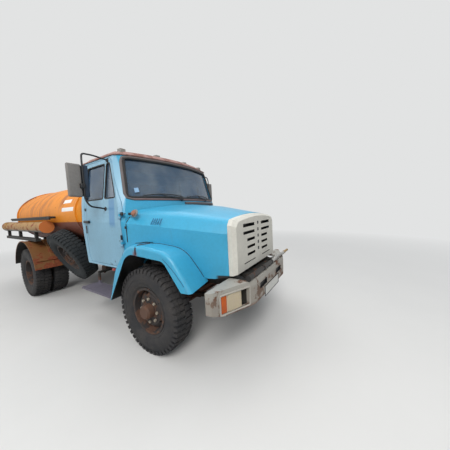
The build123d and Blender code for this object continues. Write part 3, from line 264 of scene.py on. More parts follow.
def simple(name, code, roughness):
    """Material of one finish with faint mottling, for small trim."""
    material, shader, place = new_material(name)
    colour = linear(code)
    mottled = blended(noise(place, 45.0), shaded(colour, 0.68), shaded(colour, 1.12))
    fed(shader, {"Base Color": mottled, "Roughness": roughness})
    return material


def glassy(name, code, roughness, weight):
    """See-through plastic with a tint."""
    material, shader, _ = new_material(name)
    fed(shader, {"Base Color": linear(code), "Roughness": roughness, "IOR": GLASS_IOR,
                 "Transmission Weight": weight})
    return material


# Modelling helpers

def chosen(*objects):
    """Select just these objects, the first one active; with none, just deselect all."""
    bpy.ops.object.select_all(action="DESELECT")
    for item in objects:
        item.select_set(True)
    if objects:
        bpy.context.view_layer.objects.active = objects[0]


def enter(mode):
    """Go to edit or object mode."""
    bpy.ops.object.mode_set(mode=mode)


def mark(action):
    """Select or deselect the whole mesh in edit mode."""
    bpy.ops.mesh.select_all(action=action)


def settled():
    """Put the active object's place, turn and scale into its mesh."""
    bpy.ops.object.transform_apply(location=True, rotation=True, scale=True)


def edit_all():
    """Edit mode with the whole mesh selected."""
    enter("EDIT")
    mark("SELECT")


def outward():
    """Turn the faces of the mesh in edit mode outwards and leave edit mode."""
    mark("SELECT")
    bpy.ops.mesh.normals_make_consistent(inside=False)
    enter("OBJECT")


def slab(name, low, high, edge=0.0, segments=2):
    """Block between two corners with bevelled edges."""
    low, high = Vector(low), Vector(high)
    chosen()
    bpy.ops.mesh.primitive_cube_add(size=1, location=(low + high) / 2)
    made = bpy.context.object
    made.name = name
    made.scale = high - low
    settled()
    if edge:
        edit_all()
        bpy.ops.mesh.bevel(offset=edge, segments=segments)
        enter("OBJECT")
    return made


def block(name, low, high, edge=0.0, segments=2):
    """Slab between two corners measured from the front axle."""
    return slab(name, at(*low), at(*high), edge, segments)


def traced(name, points):
    """Line through points, drawn by extruding one vertex from each to the next; ends in edit mode."""
    chosen()
    bpy.ops.mesh.primitive_plane_add(size=0.01, location=points[0])
    made = bpy.context.object
    made.name = name
    edit_all()
    bpy.ops.mesh.merge(type="CENTER")
    for start, end in zip(points, points[1:]):
        bpy.ops.mesh.extrude_region_move(TRANSFORM_OT_translate={"value": Vector(end) - Vector(start)})
    return made


def lathe(name, outline, centre, direction, steps=40):
    """Solid turned from (radius, height) points, standing at centre along a direction."""
    made = traced(name, [(radius, 0, height) for radius, height in outline])
    mark("SELECT")
    bpy.ops.mesh.spin(steps=steps, angle=math.tau, center=(0, 0, 0), axis=(0, 0, 1))
    mark("SELECT")
    bpy.ops.mesh.remove_doubles(threshold=MERGE_DISTANCE)
    outward()
    settled()
    made.rotation_euler = Vector(direction).to_track_quat("Z", "Y").to_euler()
    made.location = centre
    settled()
    return made


def tube(name, points, radius, bend=0.0, closed=False):
    """Round bar along a line of points, its corners bent by a distance."""
    made = traced(name, list(points) + ([points[0]] if closed else []))
    mark("SELECT")
    if closed:
        bpy.ops.mesh.remove_doubles(threshold=MERGE_DISTANCE)
    if bend:
        bpy.ops.mesh.bevel(offset=bend, segments=5, affect="VERTICES")
    enter("OBJECT")
    settled()
    bpy.ops.object.convert(target="CURVE")
    made.data.bevel_depth = radius
    made.data.bevel_resolution = BAR_RESOLUTION
    made.data.use_fill_caps = True
    bpy.ops.object.convert(target="MESH")
    enter("EDIT")
    outward()
    return bpy.context.object


def bar(name, points, radius, bend=0.0, closed=False):
    """Tube through points measured from the front axle."""
    return tube(name, [at(*point) for point in points], radius, bend, closed)


def joined(name, *objects):
    """Several meshes as one object."""
    chosen(*objects)
    bpy.ops.object.join()
    bpy.context.object.name = name
    return bpy.context.object


def placed_copy(source, name, matrix):
    """Copy of an object with its own mesh, moved by a matrix and turned right side out."""
    made = source.copy()
    made.data = source.data.copy()
    made.name = name
    bpy.context.collection.objects.link(made)
    made.data.transform(matrix)
    if matrix.determinant() < 0:
        made.data.flip_normals()
    return made


MIRROR = Matrix.Scale(-1, 4, (0, 1, 0))


def dressed(piece, material, body="chassis", angle=35):
    """Give a finished piece its material, shading and body."""
    piece.data.materials.clear()
    piece.data.materials.append(material)
    chosen(piece)
    bpy.ops.object.shade_smooth_by_angle(angle=math.radians(angle))
    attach(piece, body)
    return piece


def both_sides(piece, material, bodies=CHASSIS):
    """Dress a right-hand piece and its mirrored twin."""
    name = piece.name
    twin = placed_copy(piece, name + "_left", MIRROR)
    piece.name = name + "_right"
    dressed(piece, material, bodies[0])
    dressed(twin, material, bodies[1])
    return piece, twin


def snapped(points, *nodes, steps=6):
    """Points along a route, moved onto the nearest surface of the frame's nodes."""
    route = [a.lerp(b, i / steps) for a, b in zip(points, points[1:]) for i in range(steps)] + [points[-1]]
    made = []
    for point in route:
        found = [frame["nodes"][node].closest_point_on_mesh(point)[1] for node in nodes]
        made.append(min(found, key=lambda spot: (spot - point).length))
    return made


def spaced(first, last, steps):
    """Even run of numbers from first to last."""
    return [first + (last - first) * i / steps for i in range(steps + 1)]


# Surfaces of the cab, as in the part's source; columns: z, half width, corner x, corner y, middle x
CAB_LEVELS = ((0.93, 1.008, -0.4, 0.965, -0.3), (1.55, 1.045, -0.393, 1.01, -0.215),
              (1.85, 1.028, -0.431, 0.95, -0.262), (2.44, 0.945, -0.572, 0.89, -0.405))


def cab_level(z):
    """Half width, corner x, corner y and middle x of the cab at a height."""
    for low, high in zip(CAB_LEVELS, CAB_LEVELS[1:]):
        if z <= high[0] or high is CAB_LEVELS[-1]:
            share = (z - low[0]) / (high[0] - low[0])
            return [a + (b - a) * share for a, b in zip(low[1:], high[1:])]


def cab_front(y, z, out=0.0):
    """Point on the cab's bowed front, out by a distance forwards."""
    corner_x, corner_y, middle_x = cab_level(z)[1:]
    sag = middle_x - corner_x
    radius = (corner_y ** 2 + sag ** 2) / (2 * sag)
    return at(middle_x - radius + math.sqrt(radius ** 2 - y ** 2) + out, y, z)


def cab_side(x, z, out=0.0):
    """Point on the cab's right side."""
    return at(x, -cab_level(z)[0] - out, z)


def stepped(corners, step=0.06):
    """Closed run of points along straight edges between corners."""
    points = []
    for (a0, b0), (a1, b1) in zip(corners, corners[1:] + corners[:1]):
        count = max(1, round(math.hypot(a1 - a0, b1 - b0) / step))
        points += [(a0 + (a1 - a0) * i / count, b0 + (b1 - b0) * i / count) for i in range(count)]
    return points


def softened(corners, cut, pull=0.21):
    """Corners cut off into three points each, so that an outline turns softly."""
    points = []
    for before, corner, after in zip(corners[-1:] + corners[:-1], corners, corners[1:] + corners[:1]):
        corner = Vector(corner)
        to_before = (Vector(before) - corner).normalized() * cut
        to_after = (Vector(after) - corner).normalized() * cut
        points += [tuple(corner + to_before), tuple(corner + (to_before + to_after) * pull),
                   tuple(corner + to_after)]
    return points


TYRE_RADIUS = 0.509
SPARE_PLACE = (-2.45, -0.85, 0.935)
SPARE_LEAN = 25
# How far blocks sink into the carcass; drop of a shoulder block's edge; reach of its lug down and out
BLOCK_ROOT = 0.004
SHOULDER_DROP = 0.008
LUG_REACH = (-0.034, 0.0085)
# Half a carcass beside the tread; columns: radius, distance from the middle
CARCASS = ((0.47, 0.113), (0.43, 0.1265), (0.385, 0.129), (0.384, 0.1255), (0.345, 0.126), (0.312, 0.108),
           (0.308, 0.111), (0.292, 0.104), (0.28, 0.088), (0.262, 0.082))
# Tread blocks of one pitch; columns: middle, half width, start and end in pitches, shoulder or not
TREAD_BLOCKS = ((-0.092, 0.026, 0.1, 0.68, True), (-0.032, 0.029, 0.0, 0.78, False),
                (0.032, 0.029, 0.42, 1.2, False), (0.092, 0.026, 0.52, 1.1, True))


def tread_block(depth, pitch, middle, wide, start, end, shoulder):
    """One tread block of a tyre that lies flat; a shoulder block gets a lug down the wall."""
    chosen()
    radius = TYRE_RADIUS - (depth + BLOCK_ROOT) / 2
    bpy.ops.mesh.primitive_cube_add(size=1, location=(radius, 0, middle))
    made = bpy.context.object
    made.scale = (depth + BLOCK_ROOT, (end - start) * pitch * TYRE_RADIUS, wide * 2)
    settled()
    if shoulder:
        side = math.copysign(1, middle)
        enter("EDIT")
        mark("DESELECT")
        enter("OBJECT")
        for vertex in made.data.vertices:
            if (vertex.co.z - middle) * side > 0:
                vertex.co.x -= SHOULDER_DROP
        for face in made.data.polygons:
            face.select = face.normal.z * side > 0.8
        enter("EDIT")
        reach = (LUG_REACH[0], 0, side * LUG_REACH[1])
        bpy.ops.mesh.extrude_region_move(TRANSFORM_OT_translate={"value": reach})
        enter("OBJECT")
    made.rotation_euler = (0, 0, (start + end) / 2 * pitch)
    settled()
    return made


class TRUCK_OT_tyres(bpy.types.Operator):
    """Tyres with tread blocks and shoulder lugs on all seven rims"""

    bl_idname = "truck.tyres"
    bl_label = "Tyres"

    def execute(self, context):
        sizes = context.scene.truck_sizes
        base = TYRE_RADIUS - sizes.tread_depth
        half = ((base, 0.0), (base, 0.072), (base - 0.004, 0.092)) + CARCASS
        outline = list(half) + [(r, -h) for r, h in reversed(half)]
        carcass = lathe("carcass", outline, (0, 0, 0), (0, 0, 1), steps=72)
        pitch = math.tau / sizes.tread_pitches
        tread = joined("tread", *[tread_block(sizes.tread_depth, pitch, *row) for row in TREAD_BLOCKS])
        edit_all()
        bpy.ops.mesh.spin(steps=sizes.tread_pitches - 1, angle=math.tau - pitch, dupli=True, center=(0, 0, 0),
                          axis=(0, 0, 1))
        outward()
        model = joined("tyre_model", carcass, tread)
        upright = Matrix.Rotation(math.radians(90), 4, "X")
        leaning = Matrix.Rotation(math.radians(SPARE_LEAN), 4, "X") @ upright
        rubber = tyre_material(context.scene.truck_paints)
        front, rear = (FRONT_TRACK / 2,), (TWIN_INNER_Y, TWIN_OUTER_Y)
        spots = [("tyre_front_right", "wheel_front_right", [(0, -y, AXLE_Z) for y in front], upright),
                 ("tyre_front_left", "wheel_front_left", [(0, y, AXLE_Z) for y in front], upright),
                 ("tyres_rear_right", "wheels_rear_right", [(-WHEELBASE, -y, AXLE_Z) for y in rear], upright),
                 ("tyres_rear_left", "wheels_rear_left", [(-WHEELBASE, y, AXLE_Z) for y in rear], upright),
                 ("spare_tyre", "chassis", [SPARE_PLACE], leaning)]
        for node, body, places, turn in spots:
            moves = [Matrix.Translation(at(*place)) @ turn for place in places]
            made = [placed_copy(model, node + "_tread", move) for move in moves]
            whole = joined(node + "_treaded", *made) if len(made) > 1 else made[0]
            dressed(whole, rubber, body, 40)
            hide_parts(node)
        bpy.data.objects.remove(model)
        return {"FINISHED"}


def tyre_material(paints):
    """Dark rubber with pale dust in the grooves and on the walls; the spare under the tank gets painted
    shade, darker and bluer with less dust.
    """
    material, shader, place = new_material("tyre_rubber")
    dust = noise(place, 5.0, 7.0)
    fine = noise(place, 90.0, 3.0)
    dusty = product(ramp(dust, 0.4, 0.75), ramp(fine, 0.2, 0.8), 0.55)
    base = blended(dusty, paints.rubber, linear("#6A625A"))
    # Painted shade on the spare tyre under the tank: dark blue-grey laid over the dust
    spare = zone(axes(place)[0], FRONT_AXLE_X - 3.05, FRONT_AXLE_X - 1.85)
    base = blended(product(spare, 0.75), base, linear("#1C2427"))
    fed(shader, {"Base Color": base, "Roughness": 0.88, "Normal": relief(fine, 0.12, 0.002)})
    return material


# Corners of the glass: windscreen, its outer lip and rear window as (y, z), door panes as (x, z)
SCREEN = [(-0.925, 1.868), (-0.868, 2.398), (0.868, 2.398), (0.925, 1.868)]
SCREEN_LIP = [(-0.948, 1.845), (-0.891, 2.419), (0.891, 2.419), (0.948, 1.845)]
REAR_WINDOW = [(-0.62, 1.82), (-0.62, 2.23), (0.62, 2.23), (0.62, 1.82)]
DOOR_PANES = (("rear_pane_seal", [(-1.31, 1.872), (-1.31, 2.35), (-0.835, 2.35), (-0.835, 1.872)]),
              ("front_pane_seal", [(-0.792, 1.872), (-0.792, 2.35), (-0.715, 2.35), (-0.54, 1.872)]))
# Wipers; columns: name, root and tip of the arm along y, start and end of the blade
WIPERS = (("wiper_right", -0.12, -0.45, -0.74, -0.1), ("wiper_left", 0.55, 0.3, 0.02, 0.66))
WIPER_ROOT_Z = 1.835


class TRUCK_OT_glass_trim(bpy.types.Operator):
    """Rubber seals round the windscreen, rear window and door panes, the strips below, and the wipers"""

    bl_idname = "truck.glass_trim"
    bl_label = "Glass trim"

    def execute(self, context):
        radius = context.scene.truck_sizes.seal_radius
        rubber = simple("seal_rubber", "#1D1C1C", 0.6)
        black = simple("wiper_black", "#17171A", 0.45)
        line = [cab_front(y, z, 0.002) for y, z in stepped(softened(SCREEN, 0.055))]
        dressed(tube("windscreen_seal", line, radius, closed=True), rubber)
        line = [cab_front(y, z, -0.008) for y, z in stepped(softened(SCREEN_LIP, 0.075))]
        lip = tube("windscreen_lip", line, 0.02, closed=True)
        dressed(lip, simple("lip_brown", "#6F6664", 0.6))
        line = [(REAR_WINDOW_X, y, z) for y, z in softened(REAR_WINDOW, 0.03)]
        dressed(bar("rear_window_seal", line, radius, closed=True), rubber)
        for name, corners in DOOR_PANES:
            line = [cab_side(x, z, -0.004) for x, z in softened(corners, 0.03)]
            both_sides(tube(name, line, radius * 0.75, closed=True), rubber, DOORS)
        strip = [cab_front(y, 1.838, 0.004) for y in spaced(-0.86, 0.86, 24)]
        brown = simple("strip_brown", "#7B5D5A", 0.6)
        dressed(tube("windscreen_strip", strip, 0.012), brown)
        cowl = tube("cowl_strip", [cab_front(y, 1.778, 0.004) for y in spaced(-0.06, 0.86, 15)], 0.032)
        dressed(cowl, simple("cowl_grey", "#5C5556", 0.7))
        sticker = slab("screen_sticker", (-0.001, -0.028, -0.032), (0.001, 0.028, 0.032))
        turn = Matrix.Rotation(-0.33, 4, "Y") @ Matrix.Rotation(-0.42, 4, "Z")
        sticker.data.transform(Matrix.Translation(cab_front(-0.8, 1.965, 0.003)) @ turn)
        dressed(sticker, simple("sticker_blue", "#8FB6D8", 0.5))
        pivot_outline = ((0, 0), (0.019, 0), (0.019, 0.03), (0.008, 0.042), (0, 0.042))
        for name, root, tip, start, end in WIPERS:
            foot = cab_front(root, WIPER_ROOT_Z, -0.004)
            pivot = lathe(name + "_pivot", pivot_outline, foot, (1, 0, 0.25), 16)
            line = [cab_front(root, WIPER_ROOT_Z, 0.03), cab_front((root + tip) / 2, 1.87, 0.034),
                    cab_front(tip, 1.905, 0.026)]
            arm = tube(name + "_arm", line, 0.0055)
            line = [cab_front(y, 1.888 + 0.03 * math.sin(share * 3.1), 0.016)
                    for y, share in zip(spaced(start, end, 10), spaced(0, 1, 10))]
            blade = tube(name + "_blade", line, 0.0075)
            dressed(joined(name, pivot, arm, blade), black)
        return {"FINISHED"}


# The bumper's swept face: where it starts, its far end as (x, y), and the direction outwards
SWEEP_START_Y = 0.55
SWEEP_END = (0.925, 1.045)
SWEEP_OUT = (0.917, 0.398)


def bumper_face(y, z, out=0.0):
    """Point on the bumper's swept face at the right end, out by a distance."""
    share = (abs(y) - SWEEP_START_Y) / (SWEEP_END[1] - SWEEP_START_Y)
    x = BUMPER_X + (SWEEP_END[0] - BUMPER_X) * share
    return at(x + out * SWEEP_OUT[0], math.copysign(abs(y) + out * SWEEP_OUT[1], y), z)


# Dark joints on the right side: above the wing, behind the bonnet and across the wing; along the wing's fold,
# a line of painted shade in its pressed step
WING_SEAM = ((-0.34, -0.99, 1.262), (-0.22, -0.98, 1.29), (0.0, -0.96, 1.296), (0.118, -0.93, 1.289),
             (0.228, -0.888, 1.269), (0.342, -0.852, 1.242), (0.407, -0.831, 1.207), (0.46, -0.814, 1.159),
             (0.51, -0.791, 1.082), (0.558, -0.764, 0.992), (0.606, -0.745, 0.905))
WING_CREASE = ((0.395, -1.17, 1.175), (0.5, -1.17, 1.08), (0.59, -1.165, 0.985), (0.65, -1.16, 0.92))
BONNET_GAP = ((-0.346, -0.985, 1.64), (-0.346, -1.03, 1.56), (-0.346, -1.03, 1.3))
WING_SPLIT = ((0.012, -0.975, 1.296), (0.012, -1.03, 1.3), (0.012, -1.08, 1.296), (0.012, -1.13, 1.29),
              (0.012, -1.165, 1.262), (0.012, -1.178, 1.2))
LAMP_RIM = [(-0.622, 0.642), (-0.963, 0.642), (-0.963, 0.834), (-0.622, 0.834)]
PLATE_RIM = ((-0.261, 0.59), (-0.261, 0.71), (0.261, 0.71), (0.261, 0.59))
GRILLE_HOLES_Z = (1.46, 1.372, 1.288, 1.204, 1.12)


class TRUCK_OT_front_trim(bpy.types.Operator):
    """Lamp bezels and lenses, blank plate, dark towing backings, black painted shade behind the grille and in
    its holes, joint lines, a line of painted shade in the wing's fold, bonnet latches and door hinges
    """

    bl_idname = "truck.front_trim"
    bl_label = "Front trim"

    def execute(self, context):
        black = simple("trim_black", "#1A1A1C", 0.5)
        line = [bumper_face(y, z, 0.002) for y, z in softened(LAMP_RIM, 0.012)]
        bezel = tube("lamp_bezel", line, 0.009, closed=True)
        both_sides(bezel, simple("bezel_grey", "#B5B0A6", 0.45))
        sweep = math.atan2(SWEEP_END[1] - SWEEP_START_Y, BUMPER_X - SWEEP_END[0])
        turn = Matrix.Rotation(sweep - math.pi / 2, 4, "Z")
        lenses = (("headlamp_lens", 0.724, 0.878, glassy("lens_clear", "#EFE6D2", 0.12, 0.75)),
                  ("indicator_lens", 0.892, 0.952, glassy("lens_amber", "#E0701C", 0.2, 0.5)))
        for name, inner, outer, finish in lenses:
            half = (outer - inner) / 2 * 1.08
            glass = slab(name, (-0.012, -half, -0.084), (0.01, half, 0.084), 0.009, 3)
            glass.data.transform(Matrix.Translation(bumper_face(-(inner + outer) / 2, 0.738, -0.006)) @ turn)
            both_sides(glass, finish)
        plate = block("blank_plate", (BUMPER_X + 0.001, -0.257, 0.594), (BUMPER_X + 0.004, 0.257, 0.706),
                      0.001, 1)
        dressed(plate, simple("plate_white", "#D9D8D2", 0.4))
        line = [(BUMPER_X + 0.003, y, z) for y, z in PLATE_RIM]
        dressed(bar("plate_frame", line, 0.005, closed=True), black)
        # Painted shade: a black screen behind the grille
        dressed(block("grille_shade_screen", (0.892, -0.545, 0.965), (0.898, 0.545, 1.5)), black, "bonnet")
        low, high = (BUMPER_X - 0.034, -0.47, 0.69), (BUMPER_X - 0.026, -0.11, 0.84)
        both_sides(block("towing_backing", low, high, 0.002, 1), black)
        # The line along the wing's fold is painted shade in dark blue, standing for the pressed step
        crease = simple("fold_shade_blue", "#25698F", 0.5)
        rusty = simple("split_rust", "#4A2822", 0.8)
        seams = (("wing_seam", WING_SEAM, 0.0045, black), ("wing_fold_shade", WING_CREASE, 0.0035, crease),
                 ("bonnet_gap", BONNET_GAP, 0.006, black), ("wing_split", WING_SPLIT, 0.0085, rusty))
        for name, points, wide, finish in seams:
            line = snapped([at(*p) for p in points], "bonnet", "front_wings")
            both_sides(tube(name, line, wide), finish, BONNET)
        # Painted shade in the grille's small holes, as black squares
        holes = [block("hole", (0.9695, -0.021, z - 0.019), (0.971, 0.021, z + 0.019))
                 for z in GRILLE_HOLES_Z]
        dressed(joined("grille_hole_shade", *holes), black, "bonnet")
        hook = bar("hook", ((-0.402, -1.056, 1.655), (-0.33, -1.05, 1.655), (-0.318, -1.036, 1.655)), 0.006)
        foot = block("foot", (-0.408, -1.052, 1.632), (-0.372, -1.03, 1.676), 0.004)
        both_sides(joined("bonnet_latch", foot, hook), black)
        barrel = ((0, 0), (0.011, 0), (0.011, 0.07), (0, 0.07))
        both_sides(lathe("door_hinge", barrel, at(-0.425, -1.052, 1.32), (0, 0, 1), 16), black)
        both_sides(bar("bonnet_stop", ((-0.345, -1.036, 1.5), (-0.345, -1.034, 1.47)), 0.012), black, BONNET)
        return {"FINISHED"}


# Bent bar of the right-hand mirror, from the door's top foot to its lower one, and those feet
MIRROR_ARM = ((-0.77, -0.95, 2.388), (-0.8, -1.12, 2.425), (-0.765, -1.262, 2.415),
              (-0.742, -1.276, 2.34), (-0.742, -1.276, 1.85), (-0.75, -1.225, 1.768),
              (-0.77, -1.04, 1.737))
MIRROR_FEET = ((-0.77, -0.944, 2.385), (-0.77, -1.026, 1.735))
FOOT_OUTLINE = ((0, 0), (0.03, 0), (0.03, 0.01), (0.016, 0.022), (0, 0.022))
# Turned pieces as (radius, height): lock knob, housing and dome of the side repeater
KNOB = ((0, 0), (0.019, 0), (0.022, 0.006), (0.019, 0.013), (0.009, 0.016), (0.009, 0.018), (0, 0.018))
REPEATER = ((0, 0), (0.046, 0), (0.05, 0.012), (0.044, 0.022), (0, 0.022))
REPEATER_DOME = ((0, 0.018), (0.037, 0.02), (0.035, 0.032), (0.022, 0.042), (0, 0.046))
# Roof lamps; columns: name, x, y
ROOF_LAMPS = (("roof_lamp_outer", -0.65, -0.815), ("roof_lamp_inner", -0.56, -0.3))
LOUVRES = 5
LOUVRE_STEP = 0.031


class TRUCK_OT_side_trim(bpy.types.Operator):
    """Door handles, knobs, mirrors, side and roof lamps, louvres, lock plates and rub strips"""

    bl_idname = "truck.side_trim"
    bl_label = "Side trim"

    def execute(self, context):
        black = simple("handle_black", "#141416", 0.42)
        grey = simple("marker_grey", "#8D8A84", 0.5)
        silver, shader, _ = new_material("mirror_silver")
        fed(shader, {"Base Color": linear("#D5DADC"), "Metallic": 1.0, "Roughness": 0.06})
        handle = block("door_handle", (-1.356, -1.074, 1.547), (-1.21, -1.046, 1.585), 0.006)
        both_sides(handle, black, DOORS)
        both_sides(lathe("door_knob", KNOB, at(-1.335, -1.03, 1.745), (0, -1, 0), 20), black, DOORS)
        head = block("mirror_head", (-0.802, -1.43, 1.884), (-0.754, -1.283, 2.278), 0.018, 4)
        # The navy panel on the inboard side of the mirror head is painted shade of the housing
        panel = block("mirror_shade_panel", (-0.802, -1.272, 1.884), (-0.758, -1.205, 2.278), 0.014, 4)
        back = block("mirror_back", (-0.806, -1.424, 1.895), (-0.799, -1.215, 2.268), 0.003, 1)
        arm = bar("mirror_arm", MIRROR_ARM, 0.0105, bend=0.035)
        clamp = block("mirror_clamp", (-0.765, -1.315, 1.985), (-0.728, -1.255, 2.045), 0.01, 3)
        feet = [lathe("mirror_foot", FOOT_OUTLINE, at(*foot), (0, -1, 0.15), 20) for foot in MIRROR_FEET]
        arm = joined("mirror_arm", arm, clamp, back, *feet)
        glass = block("mirror_glass", (-0.8085, -1.418, 1.902), (-0.8055, -1.221, 2.261))
        finishes = ((head, simple("mirror_shell", "#7F7B77", 0.55)),
                    (panel, simple("mirror_painted_shade", "#22364A", 0.4)), (arm, black), (glass, silver))
        for piece, finish in finishes:
            right, left = both_sides(piece, finish, DOORS)
            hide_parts("mirror_right")
            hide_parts("mirror_left")
        lamp = lathe("side_repeater", REPEATER, at(-0.216, -0.972, 1.652), (0, -1, 0.35), 28)
        both_sides(lamp, grey, BONNET)
        foot = block("repeater_foot", (-0.328, -1.0, 1.634), (-0.24, -0.968, 1.668), 0.006)
        both_sides(foot, black, BONNET)
        dome = lathe("repeater_dome", REPEATER_DOME, at(-0.216, -0.976, 1.652), (0, -1, 0.35), 28)
        both_sides(dome, glassy("repeater_amber", "#A8735C", 0.35, 0.2), BONNET)
        for name, x, y in ROOF_LAMPS:
            lamp = block(name, (x - 0.042, y - 0.04, 2.47), (x + 0.036, y + 0.04, 2.548), 0.01, 3)
            both_sides(lamp, grey)
        # Louvres drawn as dark blue bars of painted shade in their slits
        slit = simple("louvre_blue", "#2C6A93", 0.6)
        for number in range(LOUVRES):
            x = 0.005 + LOUVRE_STEP * number
            share = (x + 0.38) / 1.26
            line = ((x, -0.952 + 0.215 * share, 1.602 - 0.06 * share),
                    (x - 0.012, -0.998 + 0.235 * share, 1.532 - 0.065 * share))
            both_sides(bar("louvre_%d" % (number + 1), line, 0.0045), slit, BONNET)
        keyhole = block("lock_plate", (-1.338, -1.053, 1.395), (-1.322, -1.044, 1.51), 0.003)
        both_sides(keyhole, simple("lock_brown", "#4A3B3A", 0.6), DOORS)
        red = block("door_foot_lamp", (-0.7, -1.062, 0.905), (-0.64, -1.035, 0.935), 0.006)
        both_sides(red, simple("foot_lamp_red", "#9C3A32", 0.4))
        rail = block("tank_rub_strip", (-4.9, -1.134, 1.622), (-2.505, -1.106, 1.684), 0.004)
        both_sides(rail, simple("rub_strip_black", "#22201E", 0.6))
        return {"FINISHED"}


# Seat pads; columns: name, lowest corner, highest corner, lean backwards in degrees
SEAT_PADS = (
    ("driver_cushion", (-1.33, 0.235, 1.25), (-0.845, 0.735, 1.385), 0),
    ("driver_back", (-1.395, 0.24, 1.385), (-1.26, 0.73, 1.975), 8),
    ("passenger_cushion", (-1.33, -0.795, 1.25), (-0.845, -0.065, 1.385), 0),
    ("passenger_back", (-1.395, -0.79, 1.385), (-1.26, -0.07, 1.975), 8),
)
SEAT_BOXES = (("driver_seat_box", 0.29, 0.68), ("passenger_seat_box", -0.74, -0.12))
PAD_INSET = 0.022
PAD_EDGE = 0.03
PAD_REACH = 0.024
PAD_PRESSURE = 4.0
PAD_FRAMES = 20
BACK_SHIFT = 0.055


def puffed(pad, cap, voxel):
    """Fill a pad with cloth pressure and keep each point near where it started."""
    chosen(pad)
    pad.data.remesh_voxel_size = voxel
    bpy.ops.object.voxel_remesh()
    start = [vertex.co.copy() for vertex in pad.data.vertices]
    bpy.ops.object.modifier_add(type="CLOTH")
    cloth = pad.modifiers["Cloth"]
    cloth.settings.use_pressure = True
    cloth.settings.uniform_pressure_force = PAD_PRESSURE
    cloth.settings.effector_weights.gravity = 0.0
    cloth.point_cache.frame_start = 1
    cloth.point_cache.frame_end = PAD_FRAMES
    for number in range(1, PAD_FRAMES + 1):
        bpy.context.scene.frame_set(number)
    bpy.ops.object.modifier_apply(modifier="Cloth")
    bpy.context.scene.frame_set(1)
    for vertex, first in zip(pad.data.vertices, start):
        move = vertex.co - first
        if move.length > cap:
            vertex.co = first + move.normalized() * cap
    bpy.ops.object.modifier_add(type="SUBSURF")
    pad.modifiers[-1].levels = 1
    bpy.ops.object.modifier_apply(modifier=pad.modifiers[-1].name)


class TRUCK_OT_seats(bpy.types.Operator):
    """Padded seat cushions and backs on their boxes"""

    bl_idname = "truck.seats"
    bl_label = "Seats"

    def execute(self, context):
        vinyl = vinyl_material("seat_vinyl", "#8C6A5E", "#5C443C")
        cream = vinyl_material("seat_cream", "#CDBB94", "#A08F6C")
        made = []
        for name, low, high, lean in SEAT_PADS:
            foot = at(*low) + Vector((PAD_INSET, PAD_INSET, PAD_INSET * 0.5))
            pad = slab(name, foot, at(*high) - Vector((PAD_INSET,) * 3), PAD_EDGE, 4)
            puffed(pad, PAD_REACH, context.scene.truck_sizes.pad_voxel)
            if lean:
                pivot = at(low[0], 0, low[2])
                turn = Matrix.Rotation(math.radians(-lean), 4, "Y") @ Matrix.Translation(-pivot)
                pad.data.transform(Matrix.Translation(pivot) @ turn @ Matrix.Translation((BACK_SHIFT, 0, 0)))
            dressed(pad, cream if name == "driver_back" else vinyl, angle=60)
            made.append(pad)
        for name, y0, y1 in SEAT_BOXES:
            box = block(name, (-1.3, y0, 0.99), (-0.9, y1, 1.262), 0.008)
            made.append(dressed(box, simple("seat_box_grey", "#3D454B", 0.6)))
        for piece in made:
            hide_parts("seats")
        return {"FINISHED"}


def vinyl_material(name, code, dark):
    """Worn vinyl with fine grain and rubbed patches."""
    material, shader, place = new_material(name)
    wear = ramp(noise(place, 9.0, 6.0), 0.4, 0.7)
    fed(shader, {"Base Color": blended(wear, linear(dark), linear(code)), "Roughness": 0.55,
                 "Normal": relief(noise(place, 420.0, 2.0), 0.1, 0.001)})
    return material


# Camera, found from the photograph: a 450 by 450 image with a focal length of 194.9 pixels; angles in degrees
CAMERA_PLACE = at(1.967, -2.424, 1.637)
CAMERA_YAW = 121.93
CAMERA_PITCH = -4.27
CAMERA_ROLL = -2.76
FOCAL_PIXELS = 194.9
IMAGE_PIXELS = 450
SENSOR_WIDTH = 36.0
VIEW_END = 500.0

BACKDROP = "#E2E3E3"
FLOOR_SIZE = 400
# Distances from the middle between which the floor's look fades into the backdrop
FLOOR_FADE = (3.8, 12.0)
SKY_STRENGTH = 0.85
# Area lamps; columns: name, place, size, power in watts; all aim at one point
LAMPS = (("key", (6.5, -7.0, 7.5), 4.0, 640.0), ("fill", (-5.0, -7.0, 5.0), 6.0, 150.0),
         ("top", (0.0, 1.0, 8.0), 7.0, 260.0))
LAMP_AIM = (0.6, 0, 1.2)


def camera_matrix():
    """World matrix of a camera that looks along its yaw and pitch, then rolls."""
    yaw, pitch, roll = (math.radians(a) for a in (CAMERA_YAW, CAMERA_PITCH, CAMERA_ROLL))
    forward = Vector((math.cos(pitch) * math.cos(yaw), math.cos(pitch) * math.sin(yaw), math.sin(pitch)))
    right = forward.cross(Vector((0, 0, 1))).normalized()
    up = right.cross(forward)
    tilted_right = math.cos(roll) * right + math.sin(roll) * up
    tilted_up = -math.sin(roll) * right + math.cos(roll) * up
    turn = Matrix((tilted_right, tilted_up, -forward)).transposed().to_4x4()
    return Matrix.Translation(CAMERA_PLACE) @ turn


def background_rays(tree):
    """1 for rays that show the pale background: the camera's, and those off metal and through glass."""
    path = add_node(tree, "LightPath").outputs
    return highest(path["Is Glossy Ray"], path["Is Transmission Ray"], path["Is Camera Ray"])


def floor_material():
    """Pale studio floor that takes shadows and fades into the backdrop; plain concrete for other rays."""
    material, shader, place = new_material("floor_concrete")
    tree = material.node_tree
    shown = background_rays(tree)
    near = blended(noise(place, 0.8, 5.0), linear("#D6D4D0"), linear("#DEDCD8"))
    fed(shader, {"Base Color": blended(shown, linear("#8F8B84"), near), "Roughness": 0.9})
    far = product(ramp(length(place), *FLOOR_FADE), shown)
    glow = add_node(tree, "Emission", {"Color": linear(BACKDROP), "Strength": 1.0}).outputs[0]
    output = next(node for node in tree.nodes if node.type == "OUTPUT_MATERIAL")
    mixed = add_node(tree, "MixShader", {0: far, 1: shader.outputs[0], 2: glow}).outputs[0]
    fed(output, {"Surface": mixed})
    return material


